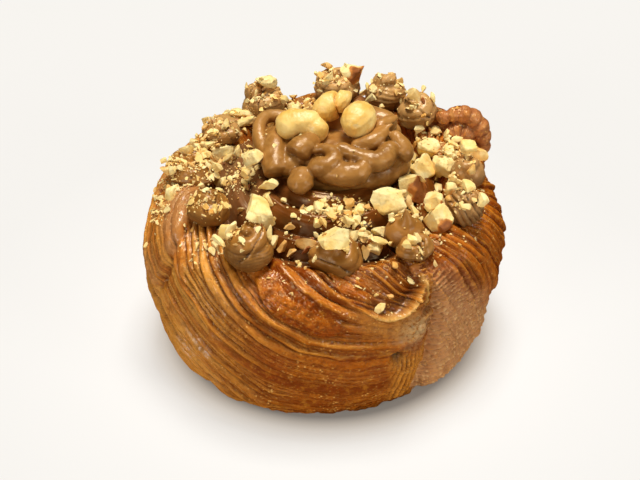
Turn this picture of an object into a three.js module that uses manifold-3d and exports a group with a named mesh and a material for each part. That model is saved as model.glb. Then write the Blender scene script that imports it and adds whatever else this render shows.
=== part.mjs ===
// A cruffin: laminated dough coiled into a squat muffin shape. Its hollow top holds a coil of nut spread,
// crowned with piped cream and kernels, and dollops of cream with chopped nuts stand round the rim.
// Millimetres, +Z up, the front towards -Y, the origin at the centre of the flat foot.

import * as THREE from "three";
import { ConvexGeometry } from "three/addons/geometries/ConvexGeometry.js";
import { mergeVertices } from "three/addons/utils/BufferGeometryUtils.js";
import Module from "manifold-3d";

const wasm = await Module();
wasm.setup();
const { degToRad, radToDeg, euclideanModulo, lerp, smoothstep } = THREE.MathUtils;

// Sizes of the pastry
const footRadius = 40;
const bodyRadius = 51;
const bodyMiddle = 34;
const rimRadius = 40;
const rimHeight = 50;
const rimRise = 5.5;
const rimHighSide = 120;
const hollowRadius = 32;
const hollowFloor = 42;
const pastryColumns = 80;
const pastryRows = 20;
const columnLean = 40;

// Sizes of its folds: layers fan out clockwise from each tucked end of the dough
const tuckAngles = [-53, 127];
const foldPitch = 6;
const foldSpread = 0.065;
const foldDepth = 2.1;
const tuckDepth = 3.4;
const pocketDepth = 3.2;
const lipHeight = 2;
const lobeDepth = 2;
const lobeFoot = 1.5;
const knob = { angle: 32, ring: 47, height: 49, width: 21, depth: 17, tall: 24, lobes: 9 };

// Sizes of the spread and the piped crown
const spreadRadius = 35;
const spreadTop = 57;
const spreadEdge = 46;
const coilPitch = 7.5;
const coilDepth = 1.3;
const crownMounds = [
  { x: 2, y: 0, width: 42, depth: 30, height: 10, middle: 55 },
  { x: 1, y: 5, width: 33, depth: 24, height: 22, middle: 55 },
];

// A gap that keeps resting pieces apart
const restGap = 0.35;

const lengthwise = new THREE.Vector3(1, 0, 0);
const crosswise = new THREE.Vector3(0, 1, 0);
const upright = new THREE.Vector3(0, 0, 1);

const materials = {
  crust: new THREE.MeshStandardMaterial({ color: "#b3742f", roughness: 0.45, metalness: 0 }),
  spread: new THREE.MeshStandardMaterial({ color: "#6b4524", roughness: 0.3, metalness: 0 }),
  cream: new THREE.MeshStandardMaterial({ color: "#9c6f3e", roughness: 0.38, metalness: 0 }),
  nut: new THREE.MeshStandardMaterial({ color: "#e9c987", roughness: 0.5, metalness: 0 }),
};

// Piped ribbons of the crown: arcs about a centre, in plan, with the levels of their two ends
const ribbons = [
  { x: 7, y: -7, reach: [7, 5], from: 200, turn: 310, levels: [58, 62], thick: 6.6, end: 0.7 },
  { x: -0.3, y: -4, reach: [4.2, 3.8], from: 130, turn: -285, levels: [65, 60.5], thick: 6.2, end: 0.8 },
  { x: -10.5, y: 3, reach: [8.5, 9.5], from: 262, turn: -175, levels: [58, 66], thick: 6.8, end: 0.9 },
  { x: 9, y: -17, reach: [15.5, 15], from: 120, turn: -80, levels: [66, 58], thick: 5.8, end: 0.8 },
  { x: 14.5, y: 2.5, reach: [8, 7.5], from: 75, turn: -120, levels: [66, 58], thick: 6.8, end: 1.1 },
  { x: 13, y: 1.2, reach: [4.6, 4.4], from: 190, turn: 215, levels: [65.5, 67.5], thick: 5.4, end: 0.35 },
  { x: -2, y: -9.8, reach: [5.6, 5.6], from: 110, turn: 75, levels: [61, 58.4], thick: 6.6, end: 1.12 },
  { x: -5.8, y: -3.4, reach: [2.2, 2], from: 215, turn: -125, levels: [61, 68], thick: 6.4, end: 0.25 },
  { x: 4, y: 6, reach: [11, 7], from: 20, turn: 150, levels: [65, 65], thick: 6.4, end: 0.9 },
];

// Dollops of cream round the rim
const dollops = [
  { angle: 117, ring: 40, width: 13.7, height: 9.5, lean: 160 },
  { angle: 85, ring: 41, width: 14.3, height: 8.5, lean: 40 },
  { angle: 64, ring: 41, width: 11.8, height: 9.5, lean: 20 },
  { angle: 46, ring: 40, width: 11.7, height: 8, lean: 0 },
  { angle: 2, ring: 41, width: 10.5, height: 9, lean: -30 },
  { angle: -21, ring: 41.3, width: 11.4, height: 9.5, lean: -10 },
  { angle: -44, ring: 30.5, width: 11.2, height: 11, lean: 100 },
  { angle: -51, ring: 39, width: 10.5, height: 6, lean: -30 },
  { angle: -85, ring: 33, width: 15, height: 9.5, lean: 200 },
  { angle: -121, ring: 40.6, width: 13.7, height: 10.8, lean: 20 },
  { angle: -150, ring: 38, width: 12.5, height: 9, lean: 40 },
  { angle: 177, ring: 38, width: 17, height: 5.5, lean: 120 },
  { angle: 145, ring: 37.5, width: 12.5, height: 6.5, lean: 90 },
];

// Broken kernels large enough to pick off: plan place, length, width, height and turn
const chunks = [
  { x: -17.5, y: -19, size: [7.5, 7, 8.5], turn: 75 },
  { x: 23, y: -4.5, size: [12, 7, 7], turn: -25 },
  { x: 17, y: -13.5, size: [9, 6.5, 6], turn: 20 },
  { x: 30.5, y: -9, size: [7, 6, 7.5], turn: 80 },
  { x: 31.5, y: -20.5, size: [6, 5, 7], turn: 50 },
  { x: 30.5, y: 16.5, size: [7, 6, 5], turn: 10 },
  { x: 35, y: 7, size: [7, 5.5, 5.5], turn: 140 },
  { x: 28.5, y: 6.5, size: [6.5, 4, 6], turn: 55 },
  { x: 35.5, y: -5, size: [3.5, 3, 5.5], turn: 30 },
  { x: 2.2, y: -36, size: [7, 6.5, 9], turn: 20 },
  { x: -25.5, y: -31, size: [7.5, 3.2, 3.5], turn: -35 },
  { x: -30, y: 14.5, size: [6.5, 5, 5], turn: 25 },
  { x: -20.5, y: -2.5, size: [5, 4, 6], turn: 60 },
  { x: -17.5, y: 36, size: [6.5, 4, 3.5], turn: 5 },
  { x: 8, y: 41, size: [6, 4.5, 5], turn: -30 },
  { x: 25.5, y: 36, size: [5.5, 4.5, 6], turn: 70 },
  { x: -43, y: -8, size: [4.5, 4, 4], turn: 30 },
  { x: 15, y: -22, size: [4.5, 3.5, 3.5], turn: 45 },
  { x: 13, y: -27.5, size: [4.5, 3.2, 3.5], turn: -20 },
  { x: 41.5, y: 4, size: [4, 3.5, 3.5], turn: 15 },
  { x: -23.5, y: 28, size: [7, 3.5, 3.5], turn: 12 },
  { x: -19.5, y: -8.5, size: [5.5, 2.6, 2.6], turn: 25 },
];

// Whole kernels on the crown: plan place, level, length, width, bend and turn
const kernels = [
  { name: "kernel_crescent", x: -6.5, y: 4.5, level: 68.5, length: 16.5, width: 8.6, bend: 110, turn: -6 },
  { name: "kernel_round", x: 9.5, y: 5, level: 70, length: 11.5, width: 9.6, bend: 20, turn: 62 },
];
const splitKernel = { x: 2, y: 12, level: 70.5, length: 13, width: 8.5, turn: 28 };

// Small nut grains fused to what they lie on
const grainSize = [1.5, 2.6];
const grainsOnRim = 30;
const grainsOnDollop = 2;

// A seeded stream of numbers from 0 to 1
function seededStream(seed) {
  let state = seed;
  return () => {
    state = (state + 0x6d2b79f5) | 0;
    let t = Math.imul(state ^ (state >>> 15), 1 | state);
    t = (t + Math.imul(t ^ (t >>> 7), 61 | t)) ^ t;
    return ((t ^ (t >>> 14)) >>> 0) / 4294967296;
  };
}

// The geometry stood on +Z, with each vertex moved and its shared vertices merged
function reshape(geometry, move) {
  const shaped = geometry.clone().rotateX(Math.PI / 2);
  shaped.deleteAttribute("normal");
  shaped.deleteAttribute("uv");
  const position = shaped.attributes.position;
  const point = new THREE.Vector3();
  for (let i = 0; i < position.count; i++) {
    move(point.fromBufferAttribute(position, i), i);
    position.setXYZ(i, point.x, point.y, point.z);
  }
  return mergeVertices(shaped, 1e-3);
}

// The closed solid of a geometry, without the faces that have folded to a line
function solidOf(geometry) {
  const merged = geometry.index ? geometry : mergeVertices(geometry, 1e-3);
  const corners = merged.index.array;
  const kept = [];
  for (let i = 0; i < corners.length; i += 3) {
    const [a, b, c] = corners.slice(i, i + 3);
    if (a !== b && b !== c && c !== a) kept.push(a, b, c);
  }
  const mesh = new wasm.Mesh({
    numProp: 3,
    vertProperties: new Float32Array(merged.attributes.position.array),
    triVerts: new Uint32Array(kept),
  });
  return new wasm.Manifold(mesh);
}

function joined(solids) {
  return solids.reduce((whole, next) => whole.add(next));
}

// The largest body of a solid, so that no loose scrap of a cut stays
function mainBody(solid) {
  return solid.decompose().reduce((a, b) => (a.volume() > b.volume() ? a : b));
}

function geometryOf(solid) {
  const { vertProperties, triVerts } = solid.getMesh();
  const geometry = new THREE.BufferGeometry();
  geometry.setAttribute("position", new THREE.BufferAttribute(new Float32Array(vertProperties), 3));
  geometry.setIndex(new THREE.BufferAttribute(new Uint32Array(triVerts), 1));
  geometry.computeVertexNormals();
  return geometry;
}

// The pastry's side from its foot over the rim into the hollow
const sideCurve = new THREE.SplineCurve(
  [
    [footRadius, 0],
    [lerp(footRadius, bodyRadius, 0.55), 0.16 * bodyMiddle],
    [lerp(footRadius, bodyRadius, 0.9), 0.55 * bodyMiddle],
    [bodyRadius, bodyMiddle],
    [lerp(rimRadius, bodyRadius, 0.75), lerp(bodyMiddle, rimHeight, 0.68)],
    [rimRadius, rimHeight],
    [lerp(hollowRadius, rimRadius, 0.4), lerp(hollowFloor, rimHeight, 0.7)],
    [hollowRadius, hollowFloor],
  ].map(([r, z]) => new THREE.Vector2(r, z)),
);
const sideLength = sideCurve.getLength();
const rimArc = 0.845 * sideLength;

// Degrees clockwise from a point to the tucked end that its layers run to
function degreesToTuck(angle) {
  return Math.min(...tuckAngles.map((tuck) => euclideanModulo(tuck - angle, 360)));
}

// How many layers lie below a point: the layers start level at the tuck and climb more steeply away from it
function layerCount(toTuck, arc) {
  const climb = 0.13 * toTuck - 9.6 * (1 - Math.exp(-toTuck / 60));
  return arc / (foldPitch + foldSpread * toTuck) - climb;
}

// The dough end at a tuck: a groove beside it, a pocket above its crisp lip, and a swell below
function tuckRelief(toTuck, arc) {
  const aside = Math.min(toTuck, 180 - toTuck);
  const groove = -tuckDepth * Math.exp(-((aside / 4) ** 2)) * (1 - smoothstep(arc, 40, 50));
  const lipArc = 40 + 0.055 * (toTuck - 11) ** 2;
  const above = arc - lipArc;
  const mouth = smoothstep(toTuck, 0, 5) * (1 - smoothstep(toTuck, 19, 25));
  const pocket = above > 0 ? -pocketDepth * Math.exp(-above / 7) : lipHeight * Math.exp(above / 5);
  const swell = 1.6 * Math.exp(-(((arc - 27) / 10) ** 2) - ((toTuck - 9) / 9) ** 2);
  return groove + mouth * pocket + swell;
}

// How far the crust stands out from its plain side at an angle, in degrees, and an arc length up the side
function relief(angle, arc) {
  const toTuck = degreesToTuck(angle);
  const lobe = smoothstep(31 + 0.7 * (toTuck - 135) - arc, -2, 3);
  const layers = Math.abs(Math.sin(Math.PI * layerCount(toTuck, arc))) - 0.6;
  const folds = foldDepth * lerp(1, 0.2, lobe) * layers;
  const inset = lobe * lerp(-lobeFoot, lobeDepth, smoothstep(arc, 8, 30));
  const twoLumps = 0.8 * Math.sin(degToRad(2 * angle + 40));
  const threeLumps = 0.6 * Math.sin(degToRad(3 * angle - 20) + arc / 15);
  const sway = 0.03 * (arc - 38) * Math.cos(degToRad(angle));
  const ends = smoothstep(arc, 0, 5) * (1 - smoothstep(arc, rimArc, sideLength));
  return ends * (twoLumps + threeLumps + sway - inset + folds + tuckRelief(toTuck, arc));
}

// The coiled dough, standing out by an extra allowance all over
function doughBody(allowance) {
  const side = sideCurve.getSpacedPoints(pastryRows);
  const outline = [new THREE.Vector2(0, 0), ...side, new THREE.Vector2(0, hollowFloor)];
  const rowCount = outline.length;
  const lathe = new THREE.LatheGeometry(outline, pastryColumns);
  return solidOf(
    reshape(lathe, (point, i) => {
      const row = (i % rowCount) - 1;
      if (row < 0 || row > pastryRows) {
        point.z += row < 0 ? -allowance : allowance;
        return;
      }
      const share = row / pastryRows;
      const turn = Math.atan2(point.y, point.x) - degToRad(columnLean * share);
      const tangent = sideCurve.getTangentAt(share);
      const out = relief(radToDeg(turn), share * sideLength) + allowance;
      const r = side[row].x + out * tangent.y;
      const highSide = 0.5 + 0.5 * Math.cos(turn - degToRad(rimHighSide));
      const rise = rimRise * smoothstep(share, 0.4, 0.85) * highSide;
      point.set(r * Math.cos(turn), r * Math.sin(turn), side[row].y - out * tangent.x + rise);
      if (row === 0) point.z = -allowance;
    }),
  );
}

// The end of the dough strip, a browned and scalloped lobe that stands above the rim at the back
function doughKnob(allowance) {
  const ball = new THREE.SphereGeometry(1, 18, 9);
  const half = new THREE.Vector3(knob.width, knob.depth, knob.tall).divideScalar(2).addScalar(allowance);
  const heading = degToRad(knob.angle);
  const centre = new THREE.Vector3(knob.ring, 0, knob.height).applyAxisAngle(upright, heading);
  return solidOf(
    reshape(ball, (point) => {
      point.multiplyScalar(1 + 0.07 * Math.cos(knob.lobes * Math.atan2(point.z, point.x))).multiply(half);
      point.applyAxisAngle(upright, heading - Math.PI / 2).add(centre);
    }),
  );
}

// The coil of spread that fills the hollow and rises to carry the crown
function spreadCoil(allowance) {
  const rows = 8;
  const slope = Array.from({ length: rows + 1 }, (_, i) => {
    const share = i / rows;
    const level = lerp(spreadEdge, spreadTop, Math.sin((share * Math.PI) / 2));
    return new THREE.Vector2(spreadRadius * (1 - share), level);
  });
  const sunk = hollowFloor - 3;
  const outline = [new THREE.Vector2(0, sunk), new THREE.Vector2(spreadRadius, sunk), ...slope];
  const lathe = new THREE.LatheGeometry(outline, 30);
  return solidOf(
    reshape(lathe, (point) => {
      if (point.z < hollowFloor) return;
      const r = Math.hypot(point.x, point.y);
      const turns = r / coilPitch - Math.atan2(point.y, point.x) / (2 * Math.PI);
      point.z += coilDepth * Math.cos(2 * Math.PI * turns) * smoothstep(r, 2, 10) + allowance;
    }),
  );
}

// One ribbon of cream: a capsule bent along its rising arc, tapered to its end
function ribbon({ x, y, reach, from, turn, levels, thick, end }, allowance) {
  const points = Array.from({ length: 9 }, (_, i) => {
    const share = i / 8;
    const at = degToRad(from + turn * share);
    const level = lerp(levels[0], levels[1], smoothstep(share, 0, 1));
    return new THREE.Vector3(x + reach[0] * Math.cos(at), y + reach[1] * Math.sin(at), level);
  });
  const path = new THREE.CatmullRomCurve3(points);
  const length = path.getLength();
  const steps = Math.max(4, Math.round(length / 3.4));
  const frames = path.computeFrenetFrames(60, false);
  const capsule = new THREE.CapsuleGeometry(1, length / (thick / 2), 2, 7, steps);
  const half = length / thick + 1;
  return solidOf(
    reshape(capsule, (point) => {
      const along = THREE.MathUtils.clamp((point.z + half) / (2 * half), 0, 1);
      const frame = Math.round(along * 60);
      const radius = (thick / 2) * lerp(1, end, along) + allowance;
      const across = frames.normals[frame].clone().multiplyScalar(point.x * radius);
      across.addScaledVector(frames.binormals[frame], point.y * radius);
      point.copy(path.getPointAt(along)).add(across);
    }),
  );
}

// The piped crown: looping ribbons over two soft mounds
function pipedCrown(allowance) {
  const mounds = crownMounds.map(({ x, y, width, depth, height, middle }) => {
    const half = new THREE.Vector3(width / 2, depth / 2, height / 2).addScalar(allowance);
    const ball = new THREE.SphereGeometry(1, 14, 7);
    return solidOf(reshape(ball, (point) => point.multiply(half).add(new THREE.Vector3(x, y, middle))));
  });
  return joined([...mounds, ...ribbons.map((each) => ribbon(each, allowance))]);
}

// One dollop: a squat swirl of cream with a small pulled tip, seated square to the slope below it
function dollopForm({ width, height, lean }, { foot, tilt }, allowance) {
  const pull = new THREE.Vector3(Math.cos(degToRad(lean)), Math.sin(degToRad(lean)), 0);
  return solidOf(
    reshape(new THREE.SphereGeometry(1, 11, 7), (point) => {
      const up = point.z;
      const around = Math.atan2(point.y, point.x);
      const swirl = 1 + 0.05 * Math.cos(2 * around + 5 * up);
      const flat = Math.max(Math.hypot(point.x, point.y), 0.01);
      const radius = (width / 2) * swirl * flat ** -0.25 + allowance;
      const tip = Math.max(up, 0) ** 8;
      const z = up > 0 ? height * (0.9 * up + 0.1 * tip) : 0.3 * height * up;
      point.set(point.x * radius, point.y * radius, z + allowance * Math.sign(up));
      point.addScaledVector(pull, 0.15 * width * tip).applyQuaternion(tilt).add(foot);
    }),
  );
}

// A broken kernel: the hull of a block with its corners and faces drawn in, turned about its length
function brokenKernel({ x, y, size, turn }, level, seed, allowance) {
  const draw = seededStream(seed);
  const block = new THREE.Vector3(...size).addScalar(2 * allowance);
  const points = Array.from({ length: 14 }, (_, i) => {
    const point = new THREE.Vector3();
    if (i < 8) point.set(i & 1, (i >> 1) & 1, i >> 2).subScalar(0.5);
    else point.setComponent((i - 8) >> 1, i & 1 ? 0.56 : -0.56);
    point.multiplyScalar(lerp(0.62, 1, draw())).multiply(block);
    point.applyAxisAngle(lengthwise, seed).applyAxisAngle(upright, degToRad(turn));
    return point.add(new THREE.Vector3(x, y, level));
  });
  const hull = new ConvexGeometry(points);
  hull.deleteAttribute("normal");
  return solidOf(hull);
}

// A whole kernel: a plump capsule bent in its own plane
function wholeKernel({ x, y, level, length, width, bend, turn }, allowance) {
  const radius = length / degToRad(bend);
  return solidOf(
    reshape(new THREE.SphereGeometry(1, 12, 9), (point) => {
      const along = point.z * (length / 2 + allowance) / radius;
      const plump = width / 2 + allowance;
      const out = radius + point.x * plump;
      const depth = -point.y * plump * 0.92;
      point.set(out * Math.sin(along), depth, out * Math.cos(along) - radius);
      point.applyAxisAngle(lengthwise, degToRad(-28)).applyAxisAngle(upright, degToRad(turn));
      point.add(new THREE.Vector3(x, y, level));
    }),
  );
}

// A kernel split along its seam, flat side leaning to the back
function halfKernel({ x, y, level, length, width, turn }, allowance) {
  return solidOf(
    reshape(new THREE.SphereGeometry(1, 12, 8), (point) => {
      const taper = 1 - 0.45 * Math.max(point.x, 0);
      point.set(
        point.x * (length / 2 + allowance),
        Math.min(point.y, 0.35) * (width / 2 + allowance) * taper,
        point.z * (width / 2 + allowance) * taper,
      );
      point.applyAxisAngle(crosswise, degToRad(-18)).applyAxisAngle(upright, degToRad(turn));
      point.add(new THREE.Vector3(x, y, level));
    }),
  );
}

// A grain of chopped nut at a point
function grain(at, size, draw, allowance) {
  const spin = new THREE.Euler(draw() * 6, draw() * 6, draw() * 6);
  const half = new THREE.Vector3(1.25, 0.95, 0.75).multiplyScalar(size / 2).addScalar(allowance);
  const block = new THREE.OctahedronGeometry(1, 0);
  return solidOf(reshape(block, (point) => point.multiply(half).applyEuler(spin).add(at)));
}

// Pieces already in place, and the meshes that a new piece can come to rest on
const placed = [];
const restMeshes = [];
const ray = new THREE.Raycaster();

function surfaceBelow(x, y) {
  ray.set(new THREE.Vector3(x, y, 200), new THREE.Vector3(0, 0, -1));
  return ray.intersectObjects(restMeshes)[0].point;
}

// The foot of a dollop on the rim, and its tilt towards the fall of the rim there
function seatOnRim({ angle, ring, width }) {
  const outward = new THREE.Vector3(Math.cos(degToRad(angle)), Math.sin(degToRad(angle)), 0);
  const levelAt = (r) => surfaceBelow(r * outward.x, r * outward.y).z;
  const fall = Math.atan2(levelAt(ring - width / 3) - levelAt(ring + width / 3), (2 * width) / 3);
  const hinge = upright.clone().cross(outward);
  const tilt = new THREE.Quaternion().setFromAxisAngle(hinge, 0.6 * fall);
  return { foot: surfaceBelow(ring * outward.x, ring * outward.y), tilt };
}

function boxesMeet(a, b) {
  const boxA = a.boundingBox();
  const boxB = b.boundingBox();
  return [0, 1, 2].every((i) => boxA.min[i] < boxB.max[i] && boxB.min[i] < boxA.max[i]);
}

// Trims a new piece clear of all that is in place, and adds it as a named mesh
function place(group, name, material, shape) {
  const cutters = placed.filter((other) => boxesMeet(other, shape(0)));
  const solid = mainBody(cutters.reduce((left, cutter) => left.subtract(cutter), shape(0)));
  const mesh = new THREE.Mesh(geometryOf(solid), material);
  mesh.name = name;
  group.add(mesh);
  placed.push(shape(restGap));
  restMeshes.push(mesh);
  return mesh;
}

const cruffin = new THREE.Group();
const toppings = new THREE.Group();
const nuts = new THREE.Group();
cruffin.add(toppings, nuts);

// Grains strewn on the shoulder, each half sunk in the crust
const bareDough = new THREE.Mesh(geometryOf(joined([doughBody(0), doughKnob(0)])), materials.crust);
restMeshes.push(bareDough);
const strewDraw = seededStream(7);
const rimGrains = Array.from({ length: grainsOnRim }, () => {
  const angle = degToRad(360 * strewDraw());
  const ring = lerp(rimRadius - 2, bodyRadius - 4, strewDraw());
  const at = surfaceBelow(ring * Math.cos(angle), ring * Math.sin(angle));
  return { at, size: lerp(...grainSize, strewDraw()) };
});
restMeshes.length = 0;

function pastry(allowance) {
  const draw = seededStream(8);
  const grains = rimGrains.map(({ at, size }) => grain(at, size, draw, allowance));
  return joined([doughBody(allowance), doughKnob(allowance), ...grains]);
}

place(cruffin, "pastry", materials.crust, pastry);
place(toppings, "spread_coil", materials.spread, spreadCoil);
place(toppings, "piped_crown", materials.cream, pipedCrown);

const twoDigits = (index) => String(index + 1).padStart(2, "0");
dollops.forEach((each, index) => {
  const seat = seatOnRim(each);
  const draw = seededStream(100 + index);
  const seats = Array.from({ length: grainsOnDollop }, () => {
    const around = 2 * Math.PI * draw();
    const out = (each.width / 2) * lerp(0.3, 0.75, draw());
    const up = each.height * 0.9 * Math.sqrt(1 - (out / (each.width / 2)) ** 2);
    const at = new THREE.Vector3(out * Math.cos(around), out * Math.sin(around), up);
    return { at: at.applyQuaternion(seat.tilt).add(seat.foot), size: lerp(...grainSize, draw()) };
  });
  const shape = (allowance) => {
    const spin = seededStream(200 + index);
    const grains = seats.map(({ at, size }) => grain(at, size, spin, allowance));
    return joined([dollopForm(each, seat, allowance), ...grains]);
  };
  place(toppings, `dollop_${twoDigits(index)}`, materials.cream, shape);
});

for (const each of kernels) {
  place(nuts, each.name, materials.nut, (allowance) => wholeKernel(each, allowance));
}
place(nuts, "kernel_split", materials.nut, (allowance) => halfKernel(splitKernel, allowance));

chunks.forEach((each, index) => {
  const level = surfaceBelow(each.x, each.y).z + 0.32 * each.size[2];
  const shape = (allowance) => brokenKernel(each, level, 300 + index, allowance);
  place(nuts, `nut_chunk_${twoDigits(index)}`, materials.nut, shape);
});

export default cruffin;
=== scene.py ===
import math

import bmesh
import bpy
import numpy as np
from mathutils import Matrix, Vector
from mathutils.bvhtree import BVHTree


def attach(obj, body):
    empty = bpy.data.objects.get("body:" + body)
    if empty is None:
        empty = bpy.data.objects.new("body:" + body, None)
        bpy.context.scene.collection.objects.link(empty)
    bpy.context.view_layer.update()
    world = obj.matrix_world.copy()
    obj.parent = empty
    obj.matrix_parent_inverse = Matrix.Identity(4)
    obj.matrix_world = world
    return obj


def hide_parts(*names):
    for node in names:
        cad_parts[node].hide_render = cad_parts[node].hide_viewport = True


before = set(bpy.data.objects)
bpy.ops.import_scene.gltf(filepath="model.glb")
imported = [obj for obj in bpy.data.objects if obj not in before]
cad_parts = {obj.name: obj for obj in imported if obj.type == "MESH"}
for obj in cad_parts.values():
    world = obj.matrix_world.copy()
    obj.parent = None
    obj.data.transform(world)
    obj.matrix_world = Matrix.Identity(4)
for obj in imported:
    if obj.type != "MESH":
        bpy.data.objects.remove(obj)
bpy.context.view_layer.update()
mm = 0.001


# small helpers: shares, seeded lumps, colours

def ease(x, low, high):  # 0 below low, 1 above high, smooth between
    t = np.clip((x - low) / (high - low), 0, 1)
    return t * t * (3 - 2 * t)


def window(x, start, full, fade, end):  # up from 0 to 1, then back to 0
    return ease(x, start, full) * (1 - ease(x, fade, end))


def bell(x, middle, width):
    return np.exp(-((x - middle) / width) ** 2)


def between(a, b, share):
    return a + (b - a) * share


def unit(way):
    return np.array(way) / np.linalg.norm(way)


def cellDraw(cell, seed):  # a fixed number from -1 to 1 for each whole-numbered cell
    x, y, z = (cell[..., i].astype(np.int64).astype(np.uint32) for i in range(3))
    h = x * np.uint32(73856093) ^ y * np.uint32(19349663) ^ z * np.uint32(83492791)
    h = h ^ np.uint32((seed * 2654435761) % 4294967296)
    h = (h ^ (h >> np.uint32(15))) * np.uint32(2246822519)
    h = (h ^ (h >> np.uint32(13))) * np.uint32(3266489917)
    return (h ^ (h >> np.uint32(16))) / 2147483648.0 - 1


def lumps(points, size, seed):  # smooth seeded lumps about size mm across
    turned = np.asarray(points) @ np.array([(0.36, 0.48, -0.8), (-0.8, 0.6, 0), (0.48, 0.64, 0.6)])
    scaled = turned / size
    cell = np.floor(scaled)
    f = scaled - cell
    f = f * f * f * (f * (f * 6 - 15) + 10)
    value = 0.0
    for corner in range(8):
        step = np.array([corner & 1, (corner >> 1) & 1, corner >> 2])
        value = value + np.prod(np.where(step, f, 1 - f), axis=-1) * cellDraw(cell + step, seed)
    return value


def tint(r, g, b):  # screen colour to linear
    channel = lambda v: v / 12.92 if v <= 0.04045 else ((v + 0.055) / 1.055) ** 2.4
    return (channel(r / 255), channel(g / 255), channel(b / 255), 1.0)


# shader graph: Wire is a socket in an expression, Finish is one material

class Wire:
    def __init__(self, finish, socket):
        self.finish, self.socket = finish, socket

    def pair(self, operation, first, second):
        return self.finish.node("ShaderNodeMath", {"operation": operation}, (first, second))

    def __add__(self, other):
        return self.pair("ADD", self, other)

    def __radd__(self, other):
        return self.pair("ADD", other, self)

    def __sub__(self, other):
        return self.pair("SUBTRACT", self, other)

    def __rsub__(self, other):
        return self.pair("SUBTRACT", other, self)

    def __mul__(self, other):
        return self.pair("MULTIPLY", self, other)

    def __rmul__(self, other):
        return self.pair("MULTIPLY", other, self)


class Finish:
    def __init__(self, name, hues=None):
        self.material = bpy.data.materials.new(name)
        self.material.use_nodes = True
        self.tree = self.material.node_tree
        self.tree.nodes.clear()
        self.hues = {key: tint(*screen) for key, screen in (hues or {}).items()}

    def node(self, kind, settings=None, values=(), output=0):
        made = self.tree.nodes.new(kind)
        for key, value in (settings or {}).items():
            if key == "stops":
                ramp = made.color_ramp
                while len(ramp.elements) < len(value):
                    ramp.elements.new(1.0)
                for element, (place, colour) in zip(ramp.elements, value):
                    element.position, element.color = place, colour
            else:
                setattr(made, key, value)
        for key, value in values.items() if isinstance(values, dict) else enumerate(values):
            if isinstance(value, Wire):
                self.tree.links.new(value.socket, made.inputs[key])
            else:
                made.inputs[key].default_value = value
        return Wire(self, made.outputs[output]) if len(made.outputs) else None

    def mark(self, name):  # a value carried by the mesh
        return self.node("ShaderNodeAttribute", {"attribute_name": name}, output="Fac")

    def marks(self, *names):
        return [self.mark(name) for name in names]

    def place(self):
        return self.node("ShaderNodeTexCoord", output="Object")

    def side(self, axis):  # one coordinate of the place, in metres
        return self.node("ShaderNodeSeparateXYZ", None, (self.place(),), output=axis)

    def stretch(self, x, y, z):  # three values as one vector
        return self.node("ShaderNodeCombineXYZ", None, (x, y, z))

    def grain(self, size, detail=2.0, vector=None, roughness=0.5, distortion=0.0):  # noise, size in metres
        values = {"Vector": vector or self.place(), "Scale": 1 / size, "Detail": detail,
                  "Roughness": roughness, "Distortion": distortion}
        return self.node("ShaderNodeTexNoise", None, values)

    def cells(self, size):
        return self.node("ShaderNodeTexVoronoi", {"feature": "F1"}, {"Vector": self.place(), "Scale": 1 / size})

    def step(self, value, low, high):
        settings = {"interpolation_type": "SMOOTHSTEP", "clamp": True}
        return self.node("ShaderNodeMapRange", settings, (value, low, high, 0.0, 1.0))

    def blend(self, share, under, over):  # each colour is a wire or the name of a hue
        under, over = (self.hues[each] if isinstance(each, str) else each for each in (under, over))
        settings = {"data_type": "RGBA", "blend_type": "MIX", "clamp_factor": True}
        return self.node("ShaderNodeMix", settings, {0: share, 6: under, 7: over}, output=2)

    def paint(self, base, *coats):  # lays colours over a base, each by its share
        for share, colour in coats:
            base = self.blend(share, base, colour)
        return base

    def bump(self, height, distance, strength, normal=None):
        values = {"Height": height, "Distance": distance, "Strength": strength}
        if normal:
            values["Normal"] = normal
        return self.node("ShaderNodeBump", None, values)

    def close(self, **sockets):
        names = {"color": "Base Color", "roughness": "Roughness", "normal": "Normal", "coat": "Coat Weight",
                 "coatRoughness": "Coat Roughness", "specular": "Specular IOR Level", "gloss": "Specular Tint",
                 "glow": "Emission Color", "glowStrength": "Emission Strength"}
        values = {names[key]: value for key, value in sockets.items()}
        self.node("ShaderNodeOutputMaterial", None, {"Surface": self.node("ShaderNodeBsdfPrincipled", None, values)})
        return self.material


# meshes from arrays

def addObject(name, data):
    made = bpy.data.objects.new(name, data)
    bpy.context.scene.collection.objects.link(made)
    return made


def addMark(mesh, name, values):
    layer = mesh.attributes.new(name, "FLOAT", "POINT")
    layer.data.foreach_set("value", np.asarray(values, np.float32).ravel())


def makeMesh(name, points, faceSets, marks=None):
    mesh = bpy.data.meshes.new(name)
    points = np.asarray(points, float).reshape(-1, 3) * mm
    mesh.vertices.add(len(points))
    mesh.vertices.foreach_set("co", points.astype(np.float32).ravel())
    faceSets = [np.asarray(faces, np.int32) for faces in faceSets]
    loops = np.concatenate([faces.ravel() for faces in faceSets])
    sizes = np.concatenate([np.full(len(faces), faces.shape[1]) for faces in faceSets])
    mesh.loops.add(len(loops))
    mesh.loops.foreach_set("vertex_index", loops)
    mesh.polygons.add(len(sizes))
    mesh.polygons.foreach_set("loop_start", np.concatenate([[0], np.cumsum(sizes)[:-1]]).astype(np.int32))
    mesh.update(calc_edges=True)
    mesh.shade_smooth()
    for key, values in (marks or {}).items():
        addMark(mesh, key, values)
    return mesh


def addPiece(name, mesh, material, nodes=()):
    piece = addObject(name, mesh)
    mesh.materials.clear()
    mesh.materials.append(material)
    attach(piece, "root")
    if nodes:
        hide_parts(*nodes)
    return piece


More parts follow.
